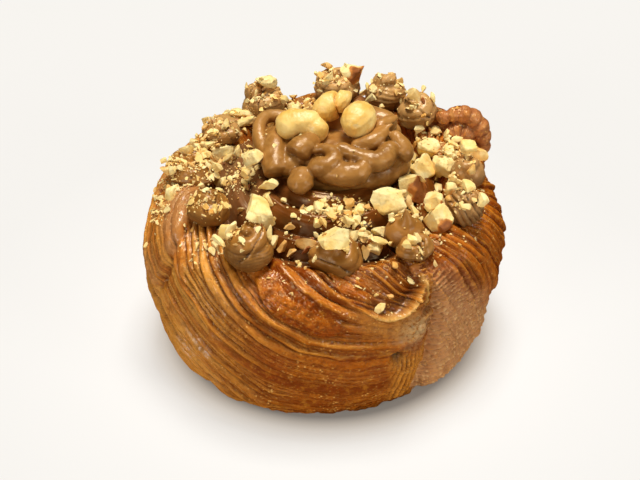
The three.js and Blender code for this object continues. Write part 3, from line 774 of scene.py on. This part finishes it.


# the piped crown: looping ribbons over soft mounds

# back and right: painted light; crease and underside: painted shade
creamHues = {
    "swirl": (190, 138, 70), "back": (222, 172, 104), "right": (204, 156, 96), "pore": (90, 56, 28),
    "crease": (66, 31, 4), "underside": (88, 46, 8),
}
crownPlan = {
    "voxel": 0.35, "smooth": 0, "plump": 1.3, "blunt": 0.35, "rough": 0.24,
    "hues": {"light": (178, 123, 58), "deep": (140, 90, 32), **creamHues},
    "mounds": [  # x, y, z, width, depth, height
        (2, 1, 56.5, 33, 21, 8), (4, 6, 58.5, 36, 22, 12), (-13.4, 4, 61.4, 12.5, 18, 9),
        (4, 2.4, 57, 41, 24.4, 16), (-9.6, -2.6, 60.6, 10, 11, 7.6), (17.6, 0, 61, 11, 9.6, 8.4),
        (13, 1, 61.2, 17, 12, 8), (10, 11, 62, 24, 10, 9), (12.4, 1.6, 63.2, 13, 8, 6),
    ],
    "ribbons": [  # x, y, z, radius along each
        [(-8.7, 14.4, 64.6, 1.3), (-15.1, 13.8, 65.4, 1.4), (-17.9, 11.8, 65.6, 1.5), (-19, 8.2, 65, 1.5),
         (-18.6, 4.3, 63.5, 1.7), (-17.1, 0.5, 62, 2), (-15.1, -2.4, 60.5, 2.5)],
        [(-3.8, -3.3, 64.6, 0.7), (-2.3, -3, 65.4, 0.9), (-0.1, -3.3, 65.6, 1.2), (1.9, -4.7, 65.2, 1.6),
         (2.4, -7, 64.4, 1.9), (0.7, -8.5, 63.4, 2.2), (-1.8, -8.1, 62.8, 2.3), (-4.3, -6.1, 62.4, 2)],
        [(2.2, -5.9, 62.6, 0.8), (4.1, -5.5, 63.4, 1), (7, -5.3, 63.6, 1.2), (9.5, -6, 63.4, 1.6),
         (10.7, -7.6, 62.8, 2.1), (9.7, -9.4, 62, 2.5), (6.9, -9.8, 61.4, 2.8), (3.6, -9.3, 61.2, 2.8),
         (0.2, -8, 61, 2.5), (-2.6, -6.5, 60.6, 2)],
        [(3, -2.9, 66, 1.3), (5.8, -4.3, 65.6, 1.6), (8.6, -5.4, 65, 1.7), (11.4, -6.2, 64.2, 2),
         (14.2, -6.8, 63.6, 2.4), (16.5, -5.6, 63.8, 2.4), (18, -3.1, 64.8, 2.1), (18.3, -0.4, 66, 1.6)],
        [(7, -1.6, 65, 1.4), (9.2, -1.5, 65.4, 1.7), (12.1, -0.9, 66, 2), (14.9, 0.5, 66.8, 1.7),
         (16.9, 2.2, 68, 1), (17.8, 3.3, 69, 0.4)],
        [(9, 2.4, 66, 0.8), (13.3, 2.5, 66.8, 1), (15.5, 3.1, 67.4, 1), (17.8, 3.4, 68.6, 0.6),
         (19.2, 4.3, 69, 0.3)],
        [(18.7, 3.1, 67.4, 1), (20.3, 1.2, 66, 1.6), (21.8, -0.4, 64, 2.3), (22, -2, 62, 2.9),
         (21.5, -2.6, 61, 2.8)],
        [(-8.5, 13, 63, 3.4), (1.4, 13.2, 63.8, 3.9), (9.5, 12.5, 64.6, 3.8), (15.8, 10.8, 65.6, 3),
         (20, 8, 65.4, 2.1)],
        [(12, 6.4, 66.6, 1.2), (15.6, 5.8, 67.2, 1.6), (18.2, 7.6, 67.8, 1), (20.6, 9.4, 68, 0.5)],
        [(-6, -5.4, 59.5, 2.2), (-6.8, -9.6, 59.6, 2.8), (-7.1, -12, 58.4, 3), (-7.1, -12.6, 57, 2.8)],
    ],
    "cutEnds": [  # short ribbons that end in a flat cut
        [(-2.6, 1.5, 65.4, 1.6), (-4.9, -0.9, 66, 2.3), (-7.1, -3, 65.4, 2.8), (-8.5, -4.7, 64.2, 2.8)],
        [(-12.1, 8.8, 64.6, 1.8), (-13.8, 3.4, 63.8, 2.4), (-14.3, -0.8, 62.2, 2.8), (-14, -4.5, 60.6, 3),
         (-13.4, -7.2, 59.2, 2.9)],
    ],
}


def makeCrown(plan):
    thick = np.array([1, 1, 1, plan["plump"]])
    parts = [ballPoints(*mound) for mound in plan["mounds"]]
    parts += [tubePoints(through(each, 70) * thick) for each in plan["ribbons"]]
    parts += [tubePoints(through(each, 120) * thick, plan["blunt"]) for each in plan["cutEnds"]]
    mesh = remeshed("pipedCrown", *joinParts(parts), plan["voxel"], plan["smooth"])
    points, normals = meshArrays(mesh)
    shove = 0.2 * lumps(points, 3.6, 82) + 0.1 * lumps(points, 1.5, 83) + 0.05 * lumps(points, 0.8, 84)
    setPoints(mesh, points + normals * shove[:, None])
    # hollow: how deep each point lies in a crease, read for painted shade
    addMark(mesh, "hollow", -reliefOf(mesh, 9))
    # rise: low for faces that point down, which get painted shade
    addMark(mesh, "rise", 0.25 + 0.8 * meshArrays(mesh)[1][:, 2])
    return mesh


def creamFinish(name, plan):
    f = Finish(name, plan["hues"])
    cloudy, fineGrain = f.grain(0.008, 3.0), f.grain(0.0012, 2.0)
    swirl = f.grain(0.006, 3.0, distortion=2.5)
    base = f.paint(
        f.blend(f.step(cloudy, 0.3, 0.7), "deep", "light"),
        (f.step(swirl, 0.52, 0.7) * 0.4, "swirl"),
        # painted light: the back and the right of the cream are painted lighter, as if lit more
        (f.step(f.side("Y"), 0.006, 0.03) * 0.65, "back"),
        (f.step(f.side("X"), 0.024, 0.04) * 0.5, "right"),
        (f.step(f.grain(0.0009, 1.0), 0.68, 0.78) * 0.2, "pore"),
        # painted shade in the creases
        (f.step(f.mark("hollow"), -0.02, 0.22) * 0.92, "crease"),
        # painted shade on faces that point down and on the low parts
        (f.step(f.mark("rise"), 0.6, 0.0) * 0.62, "underside"))
    return f.close(color=base, roughness=plan["rough"] + 0.2 * swirl, specular=0.6, gloss=(1, 0.86, 0.64, 1),
                   normal=f.bump(fineGrain + cloudy * 0.6, 0.0003, 0.4))


crownCream = creamFinish("pipedCream", crownPlan)
crownPiece = addPiece("pipedCrown", makeCrown(crownPlan), crownCream, ["piped_crown"])
print("crown")


# dollops of cream round the rim

dollopPlan = {
    "voxel": 0.38, "smooth": 2, "seed": 500, "rough": 0.26, "laps": 2,
    "hues": {"light": (178, 120, 52), "deep": (142, 90, 28), **creamHues},
    "dollops": [  # angle, ring, width, height, lean, rings, fold, tip
        (117, 40, 14, 8.8, 160, 0.5, 0.6, 0.9), (85, 41, 14.8, 7.6, 40, 0.4, 0.5, 0.2),
        (64, 41, 12.4, 10, 20, 1.0, 0.4, 0.5), (46, 40, 13, 8, 0, 0.5, 0.6, 0.3),
        (2, 41, 10.5, 8.6, -30, 0.1, 0.3, 0.1), (-21, 41.3, 11.4, 9.4, -10, 2.2, 0.7, 0.5),
        (-46, 31.3, 11.6, 11.4, 150, 0.1, 0.0, 0.8), (-51, 39, 11.5, 4.2, -15, 0.6, 1.4, 1.0),
        (-85, 33, 15, 9.5, 200, 0.5, 1.0, 0.4), (-121, 40.6, 13.7, 10.6, 20, 0.8, 1.0, 0.5),
        (-150, 38, 12.5, 8.6, 40, 0.3, 0.7, 0.3), (177, 38, 17, 5.2, 120, 0.3, 0.6, 0.1),
        (145, 37.5, 12.5, 6.2, 90, 0.4, 0.6, 0.2),
    ],
}


def seatOnRim(ground, angle, ring, width):  # the foot of a dollop, and how steeply the rim falls there
    outward = Vector((math.cos(math.radians(angle)), math.sin(math.radians(angle)), 0))
    below = lambda r: firstHit(ground, outward * r + Vector((0, 0, 120)), (0, 0, -1))[0]
    fall = math.atan2(below(ring - width / 3).z - below(ring + width / 3).z, 2 * width / 3)
    return np.array(below(ring)), np.array(Matrix.Rotation(0.6 * fall, 3, Vector((0, 0, 1)).cross(outward)))


def dollopParts(width, height, lean, fold, tip, start):
    share = np.linspace(0, 1, 80)
    z = between(0.3 * height, height * (0.78 + 0.2 * tip), share) + 0.12 * tip * height * share ** 4
    pull = 0.2 * width * tip * share ** 3
    pullX, pullY = pull * math.cos(math.radians(lean)), pull * math.sin(math.radians(lean))
    if not fold:  # a plain dome drawn up to a tip
        dome = np.stack([pullX, pullY, z, width * (0.05 + 0.4 * (1 - share) ** 1.3)], -1)
        return [ballPoints(0, 0, 0.25 * height, width * 0.95, width * 0.9, height * 0.8), tubePoints(dome)]
    at = start + 2 * np.pi * (0.9 + 0.8 * fold) * share  # a coil that climbs to a tip
    thick = min(0.27 * width, 0.45 * height) * (1 - 0.5 * share)
    reach = (width / 2 - thick) * (1 - share) ** 0.6
    thick = thick * (1 - 0.75 * tip * ease(share, 0.8, 1))
    coil = np.stack([reach * np.cos(at) + pullX, reach * np.sin(at) + pullY, z, thick], -1)
    return [ballPoints(0, 0, 0.25 * height, width * 0.95, width * 0.9, height), tubePoints(coil)]


def makeDollop(name, plan, spec, ground, seed):
    angle, ring, width, height, lean, rings, fold, tip = spec
    points, faces = joinParts(dollopParts(width, height, lean, fold, tip, seed))
    foot, tilt = seatOnRim(ground, angle, ring, width)
    mesh = remeshed(name + "Cream", points @ tilt.T + foot, faces, plan["voxel"], plan["smooth"])
    points, normals = meshArrays(mesh)
    local = (points - foot) @ tilt
    slanted = rings >= 2  # deep rings lie aslant and run over the top
    climb = local @ np.array([0.75, 0.3, 0.6] if slanted else [0, 0, 1])
    grooves = rings * 0.13 * np.cos(2 * np.pi * (climb / (0.75 + 0.35 * rings) + 0.5 * lumps(local, 5, seed + 1)))
    if not slanted:
        grooves = grooves * (1 - ease(local[:, 2], 0.45 * height, 0.7 * height))
    rng = np.random.default_rng(seed)
    for _ in range(plan["laps"]):  # folds where the cream laps over itself
        way = unit(rng.normal(size=3) * np.array([1, 1, 0.7]))
        across = local @ way - rng.uniform(-0.18, 0.18) * width + 0.9 * lumps(local, 4.5, seed + 4)
        lap = np.where(across > 0, -bell(across, 0, 1.1), 0.35 * bell(across, 0, 0.9))
        grooves = grooves + 0.55 * fold * lap * ease(local[:, 2], 0.1 * height, 0.4 * height)
    shove = grooves + 0.55 * lumps(points, 5, seed + 2) + 0.12 * lumps(points, 1.8, seed + 3)
    setPoints(mesh, points + normals * shove[:, None])
    # hollow: how deep each point lies in a crease, read for painted shade
    addMark(mesh, "hollow", -reliefOf(mesh, 9))
    # rise: low for the low parts and faces that point down, which get painted shade
    addMark(mesh, "rise", np.minimum(local[:, 2] / height, 0.3 + 0.8 * meshArrays(mesh)[1][:, 2]))
    return mesh


dollopCream = creamFinish("dollopCream", dollopPlan)
rimGround = groundOf(strands + [knobPiece, spreadPiece])
dollopPieces = []
for k, spec in enumerate(dollopPlan["dollops"]):
    node = f"dollop_{k + 1:02d}"
    dollopMesh = makeDollop(node, dollopPlan, spec, rimGround, dollopPlan["seed"] + 10 * k)
    dollopPieces.append(addPiece(f"creamDollop{k + 1:02d}", dollopMesh, dollopCream, [node]))
print("dollops")


# nuts: whole kernels and broken chunks, roughened from the solids

nutHues = {
    "cream": (254, 231, 160), "butter": (250, 208, 114), "toast": (222, 152, 56), "skin": (204, 124, 42),
    "scuff": (226, 172, 80), "fleck": (255, 236, 176), "hollow": (206, 146, 66), "darkSkin": (128, 64, 18),
}
kernelPlan = {
    "voxel": 0.36, "shove": 0.12, "rough": 0.34, "bump": 0.0004,
    "hues": {**nutHues, "cream": (246, 208, 122), "butter": (234, 182, 82)},
    "kernels": {  # the slit is the way across the seam, and how far off the middle it lies
        "kernel_round": {"seed": 710, "scale": 1.08},
        "kernel_split": {"seed": 720, "scale": 1.06, "slit": (0.9, -0.1, 0.25, 2.3)},
    },
    "bean": {
        "seed": 700, "smooth": 7,
        "right": (0.98, -0.12, -0.1), "lift": (0.05, 0.62, 0.78),  # the notch faces down the slope of the crown
        "balls": [  # along, up, size
            (-3.7, -0.5, 8.2), (3.7, -0.6, 7.9), (-1.8, 0.8, 7.9), (0, 1.1, 7.8), (1.8, 0.8, 7.9),
        ],
    },
}
chunkPlan = {
    "voxel": 0.32, "shove": 0.16, "rough": 0.48, "bump": 0.0005, "seed": 800, "count": 22, "chips": 7,
    "scale": 1.15, "hues": nutHues,
    "skinSides": {2: (0.6, -0.75, 0.1), 4: (0.3, -1, -0.3), 5: (0.2, -0.8, -0.2), 15: (0.4, -0.8, 0.3)},
}


def nutFinish(name, plan):
    f = Finish(name, plan["hues"])
    cloudy, fineGrain = f.grain(0.005, 3.0), f.grain(0.0009, 3.0)
    scuffs, skin = f.grain(0.0022, 4.0, roughness=0.65), f.mark("skin")
    base = f.paint(
        f.blend(f.step(cloudy, 0.35, 0.7), "cream", "butter"),
        (f.step(scuffs, 0.54, 0.66) * 0.45, "scuff"),
        (f.step(scuffs, 0.44, 0.34) * 0.4, "fleck"),
        (f.step(f.mark("toast") + (cloudy - 0.5) * 0.8, 0.45, 1.0) * 0.8, "toast"),
        # painted shade in the hollows
        (f.step(f.mark("hollow"), 0.02, 0.25) * 0.7, "hollow"),
        (f.step(skin + (fineGrain - 0.5) * 0.5, 0.1, 0.5), "skin"),
        (f.step(skin + (cloudy - 0.5), 0.5, 1.0) * 0.8, "darkSkin"))
    return f.close(color=base, roughness=plan["rough"] + 0.15 * fineGrain,
                   normal=f.bump(fineGrain + scuffs, plan["bump"], 0.4))


def makeNut(node, plan, seed, scale, chips=0, skinWay=None, slit=None):
    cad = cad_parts[node].data
    triangles = np.zeros(len(cad.polygons) * 3, np.int32)
    cad.polygons.foreach_get("vertices", triangles)
    corners, index = np.unique(meshArrays(cad)[0].round(3), axis=0, return_inverse=True)
    middle = corners.mean(0)
    faces = [index.ravel()[triangles].reshape(-1, 3)]
    mesh = remeshed(node + "Nut", middle + (corners - middle) * scale, faces, plan["voxel"], 0)
    if chips:
        points, normals = meshArrays(mesh)
        points = points + normals * (0.8 * lumps(points, 5, seed + 4))[:, None]
        rng = np.random.default_rng(seed)
        for _ in range(chips):  # corners broken off flat
            way = unit(rng.normal(size=3))
            high = (points - middle) @ way
            points = points - np.outer(np.maximum(high - high.max() * rng.uniform(0.58, 0.85), 0), way)
        setPoints(mesh, points)
        mesh = applied(mesh, smoothing(1))
    points, normals = meshArrays(mesh)
    shove = lumps(points, 3.2, seed) + 0.6 * lumps(points, 1.3, seed + 1) + 0.3 * lumps(points, 0.7, seed + 5)
    shove = plan["shove"] * shove
    if slit:
        shove = shove - 1.5 * bell((points - middle) @ unit(slit[:3]), slit[3], 0.4)
    setPoints(mesh, points + normals * shove[:, None])
    points, normals = meshArrays(mesh)
    skin = np.zeros(len(points))
    if skinWay:
        outward = (points - middle) @ unit(skinWay)
        skin = ease(outward / outward.max() + 0.35 * lumps(points, 2.5, seed + 3), 0.25, 0.75)
    addMark(mesh, "toast", 0.26 + 0.5 * lumps(points, 4, seed + 2) - 0.12 * normals[:, 2])
    addMark(mesh, "skin", skin)
    # hollow: how deep each point lies, read for painted shade
    addMark(mesh, "hollow", -reliefOf(mesh, 8))
    return mesh


def makeBean(node, plan):
    bean, seed = plan["bean"], plan["bean"]["seed"]
    cad = meshArrays(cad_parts[node].data)[0]
    middle = (cad.min(0) + cad.max(0)) / 2
    parts = []
    for along, up, size in bean["balls"]:
        at = middle + along * np.array(bean["right"]) + up * np.array(bean["lift"])
        parts.append(ballPoints(*at, size, size * 0.95, size))
    mesh = remeshed(node + "Nut", *joinParts(parts), plan["voxel"], bean["smooth"])
    points, normals = meshArrays(mesh)
    shove = 0.4 * lumps(points, 3.5, seed) + 0.1 * lumps(points, 1.5, seed + 1)
    setPoints(mesh, points + normals * shove[:, None])
    addMark(mesh, "toast", 0.25 + 0.5 * lumps(points, 5, seed + 2) - 0.2 * normals[:, 2])
    for key in ("skin", "hollow"):
        addMark(mesh, key, np.zeros(len(points)))
    return mesh


kernelNut, brokenNut = nutFinish("blanchedKernel", kernelPlan), nutFinish("brokenNut", chunkPlan)
kernelMeshes = {"kernel_crescent": makeBean("kernel_crescent", kernelPlan)}
for node, kernel in kernelPlan["kernels"].items():
    kernelMeshes[node] = makeNut(node, kernelPlan, **kernel)
for node, kernelMesh in kernelMeshes.items():
    addPiece(node.replace("_", "") + "Nut", kernelMesh, kernelNut, [node])
chunkPieces = []
for k in range(chunkPlan["count"]):
    node, skinWay = f"nut_chunk_{k + 1:02d}", chunkPlan["skinSides"].get(k + 1)
    seed = chunkPlan["seed"] + 10 * k
    chunkMesh = makeNut(node, chunkPlan, seed, chunkPlan["scale"], chunkPlan["chips"], skinWay)
    chunkPieces.append(addPiece(f"nutChunk{k + 1:02d}", chunkMesh, brokenNut, [node]))
print("nuts")


# chopped nut strewn over the top: bits, thin slivers and dust

strewPlan = {
    "dropTo": 55, "dropFrom": 60, "dropLean": 0.32, "lowest": 36, "scatter": 0.85, "rimRing": (33, 46),
    "tip": 0.45, "skinShare": 0.03, "sharpAngle": 32, "skipCrown": 0.97, "skipChunk": 0.85,
    "kinds": {  # more: times the count of each patch, rim: how many go all round it
        "nutBits": {"sizes": (2.2, 6.0), "more": 1.8, "rim": 10, "flat": (0.5, 0.9), "cuts": 11, "round": 3,
                    "sink": 0.25, "seed": 900},
        "nutSlivers": {"sizes": (1.3, 3.6), "more": 1.4, "rim": 70, "flat": (0.16, 0.45), "cuts": 10, "round": 2,
                       "sink": 0.1, "seed": 901},
        "nutDust": {"sizes": (0.35, 1.0), "more": 1.1, "rim": 420, "flat": (0.3, 0.8), "cuts": 6, "round": 1,
                    "sink": 0.2, "seed": 902},
    },
    "patches": [  # x, y, spread in x and y, then how many bits, slivers and grains of dust
        (-45.5, 1, 3, 4, 3, 16, 110), (-37, 3, 4, 4, 6, 18, 110), (-30, 17, 3, 3, 4, 9, 50),
        (-33, 21, 3, 3, 3, 12, 60), (-25.5, 32, 4, 3, 9, 14, 70), (-19, 30, 3, 3, 5, 8, 40),
        (-35, 15, 3, 4, 6, 14, 80), (-43, -4, 3, 3, 3, 12, 90), (-33, -3, 4, 3, 3, 16, 110),
        (-24, 10, 3, 5, 2, 9, 80), (-24.5, -2, 3, 4, 3, 14, 170), (-19.5, -3, 2, 3, 4, 8, 70),
        (3, -16.5, 4, 2.5, 9, 18, 200), (9, -14.5, 3, 2.5, 5, 14, 150), (6, -21, 4, 2, 7, 12, 130),
        (-4, -17, 2.5, 2.5, 3, 7, 60), (9.5, -25, 2.5, 2, 6, 9, 60), (13, -25, 2, 2, 3, 4, 20),
        (24, 14, 3, 3, 8, 10, 60), (31, 16, 3, 3, 10, 9, 60), (38, 14, 3, 3, 9, 9, 50),
        (40, 4, 2, 3, 6, 7, 30), (27.5, 9, 3, 3, 8, 8, 50), (36, 5, 3, 3, 8, 7, 40),
        (37, -3, 2, 2, 5, 4, 20), (20, 19, 3, 2.5, 8, 8, 50), (26.5, 25, 3, 3, 4, 7, 30),
        (17.9, 37, 3, 2.5, 2, 9, 60), (3.5, 41, 5, 3, 4, 14, 90), (-18, 35, 4, 3, 1, 8, 40),
        (-7.5, 37, 4, 3, 7, 9, 40), (-24, -33, 3, 3, 4, 12, 50), (-17.6, -14, 3, 3, 5, 6, 25),
        (-33, -20, 3.5, 3, 3, 16, 90), (23, -18, 3, 4, 5, 9, 60), (30, -12, 3, 4, 9, 9, 50),
        (19.5, -10.5, 2.5, 2.5, 4, 5, 40), (30, -24, 2, 3, 4, 5, 25), (-10, -23, 4, 4, 1, 7, 16),
        (-7, -29, 1.5, 2, 2, 1, 5), (-6, -33, 1, 1, 1, 0, 2), (-33, -29, 4, 3, 0, 7, 30),
        (16.3, -36, 1, 1, 0, 2, 4), (-46, -11, 2, 4, 1, 11, 80), (24, -33, 3, 2, 3, 2, 16),
        (38, -17, 3, 3, 3, 6, 30), (36, 21, 2, 2, 3, 3, 10), (15, -44.3, 1.5, 1, 1, 2, 5),
        (2, -34, 3, 3, 4, 10, 50),
    ],
}


def unitBall(divisions):
    ball = bmesh.new()
    bmesh.ops.create_icosphere(ball, subdivisions=divisions, radius=1)
    points = np.array([v.co[:] for v in ball.verts])
    faces = np.array([[v.index for v in face.verts] for face in ball.faces])
    ball.free()
    return points, faces


def chip(rng, ball, size, stretch, cuts):  # a chip of nut: a ball cut flat by random planes
    points = ball.copy()
    for _ in range(cuts):
        way = unit(rng.normal(size=3))
        points -= np.outer(np.maximum(points @ way - rng.uniform(0.3, 0.66), 0), way)
    return points * np.array(stretch) * size / 2


def restAt(rng, plan, ground, skip, x, y):  # where a chip dropped at x, y comes to rest, if it stays
    lean = rng.normal(0, plan["dropLean"], 2)
    way = Vector((lean[0], lean[1], -1)).normalized()
    place, normal, which = firstHit(ground, Vector((x, y, plan["dropTo"])) - way * plan["dropFrom"], way)
    stays = place is not None and place.z > plan["lowest"] and not rng.random() < skip.get(which, 0)
    return (place, normal) if stays else (None, None)


def strewSpots(rng, plan, kind, column):
    spots = []
    for x, y, spreadX, spreadY, *counts in plan["patches"]:
        draws = rng.normal(0, plan["scatter"], (round(counts[column] * kind["more"]), 2))
        spots += [(x + spreadX * dx, y + spreadY * dy) for dx, dy in draws]
    for _ in range(kind["rim"]):
        turn, ring = rng.uniform(0, 2 * np.pi), rng.uniform(*plan["rimRing"])
        spots.append((ring * math.cos(turn), ring * math.sin(turn)))
    return spots


def strew(name, plan, column, ground, skip):
    kind = plan["kinds"][name]
    rng = np.random.default_rng(kind["seed"])
    ball, faces = unitBall(kind["round"])
    points, toast, skin = [], [], []
    for x, y in strewSpots(rng, plan, kind, column):
        place, normal = restAt(rng, plan, ground, skip, x, y)
        if place is None:
            continue
        size = between(*kind["sizes"], rng.random() ** 1.7)
        stretch = (1.15, rng.uniform(0.6, 0.95), rng.uniform(*kind["flat"]))
        lying = normal.to_track_quat("Z", "Y").to_matrix() @ Matrix.Rotation(rng.uniform(0, 6.28), 3, "Z")
        tipX, tipY = (Matrix.Rotation(rng.normal(0, plan["tip"]), 3, axis) for axis in "XY")
        shape = chip(rng, ball, size, stretch, kind["cuts"]) @ np.array(lying @ (tipX @ tipY)).T
        points.append(shape + np.array(place + normal * (size * stretch[2] / 2 * (1 - kind["sink"]))))
        toast.append(rng.random() ** 2.5)
        skin.append(float(rng.random() < plan["skinShare"]))
    count = len(points)
    allFaces = (faces + np.arange(count)[:, None, None] * len(ball)).reshape(-1, 3)
    marks = {"toast": np.repeat(toast, len(ball)), "skin": np.repeat(skin, len(ball)),
             "hollow": np.zeros(len(ball) * count)}
    mesh = makeMesh(name, np.concatenate(points), [allFaces], marks)
    mesh.set_sharp_from_angle(angle=math.radians(plan["sharpAngle"]))
    print(name, count, "pieces", len(mesh.polygons), "faces")
    return mesh


topPieces = [*strands, knobPiece, spreadPiece, crownPiece, *dollopPieces, *chunkPieces]
topGround = groundOf(topPieces)
skipShare = {topPieces.index(crownPiece): strewPlan["skipCrown"]}  # little stays on the crown and the chunks
skipShare.update({topPieces.index(chunk): strewPlan["skipChunk"] for chunk in chunkPieces})
for column, name in enumerate(strewPlan["kinds"]):
    addPiece(name, strew(name, strewPlan, column, topGround, skipShare), brokenNut)


# camera, light and floor

cameraPlan = {"elevation": 37, "distance": 600, "lens": 115, "sensor": 36, "target": (-1.5, 0, 31)}


def setCamera(plan):
    camera = addObject("photoCamera", bpy.data.cameras.new("photoCamera"))
    camera.data.lens, camera.data.sensor_width, camera.data.sensor_fit = plan["lens"], plan["sensor"], "HORIZONTAL"
    e = math.radians(plan["elevation"])
    back = Vector((0, -math.cos(e), math.sin(e)))
    camera.location = (Vector(plan["target"]) + back * plan["distance"]) * mm
    camera.rotation_euler = (-back).to_track_quat("-Z", "Y").to_euler()
    camera.data.clip_start, camera.data.clip_end = 0.01, 20
    bpy.context.scene.camera = camera


lightPlan = {
    "world": 0.12, "worldColour": (1.0, 0.985, 0.96, 1), "aim": (0, 0, 30),
    "lamps": {  # power, place, size
        "softKey": (19.0, (50, 190, 1300), 460), "softLeft": (4.2, (-750, -900, 520), 420),
        "softRight": (3.2, (900, -650, 480), 380),
    },
    "floor": (0.24, 0.234, 0.223, 1), "floorHalf": 3000, "glowReach": 200,
    # the floor glows weaker and warmer near the foot: a painted contact shadow with painted warm bounce light
    "shadowGlowAt": (  # reach from the middle, strength, warmth
        (43, 0.14, 1.0), (46, 0.38, 1.0), (49, 0.56, 0.6), (52, 0.65, 0.3), (55, 0.68, 0.1), (62, 0.68, 0),
        (80, 0.65, 0), (110, 0.62, 0), (200, 0.62, 0),
    ),
}


def addLight(name, aim, power, place, size):
    lamp = addObject(name, bpy.data.lights.new(name, "AREA"))
    lamp.data.energy, lamp.data.size = power, size * mm
    lamp.location = Vector(place) * mm
    lamp.rotation_euler = (Vector(aim) - Vector(place)).to_track_quat("-Z", "Y").to_euler()


def floorFinish(plan):
    f = Finish("floorWithPaintedShadow")
    reach = f.node("ShaderNodeVectorMath", {"operation": "LENGTH"}, (f.place(),), output="Value")
    # the glow ramp paints the contact shadow round the foot
    stops = [(at / plan["glowReach"], (share, share * (0.973 - 0.08 * bounceWarmth), share * (0.929 - 0.17 * bounceWarmth), 1))
             for at, share, bounceWarmth in plan["shadowGlowAt"]]
    glow = f.node("ShaderNodeValToRGB", {"stops": stops}, (reach * (1 / (plan["glowReach"] * mm)),))
    return f.close(color=plan["floor"], roughness=0.8, specular=0.0, glow=glow, glowStrength=1.0)


def setStudio(plan):
    world = bpy.data.worlds.new("softRoom")
    bpy.context.scene.world = world
    world.use_nodes = True
    background = world.node_tree.nodes["Background"]
    background.inputs["Color"].default_value = plan["worldColour"]
    background.inputs["Strength"].default_value = plan["world"]
    world.cycles_visibility.glossy = False  # only the lamps show in the glaze
    for name, lamp in plan["lamps"].items():
        addLight(name, plan["aim"], *lamp)
    half = plan["floorHalf"]
    corners = np.array([(-half, -half, 0), (half, -half, 0), (half, half, 0), (-half, half, 0)])
    floor = addObject("floor", makeMesh("floor", corners, [np.array([[0, 1, 2, 3]])]))
    floor.data.materials.append(floorFinish(plan))
    floor.visible_glossy = False  # keeps a white haze off the glaze
    bpy.context.scene.view_settings.view_transform = "Standard"


setCamera(cameraPlan)
setStudio(lightPlan)
print("camera, light and floor")
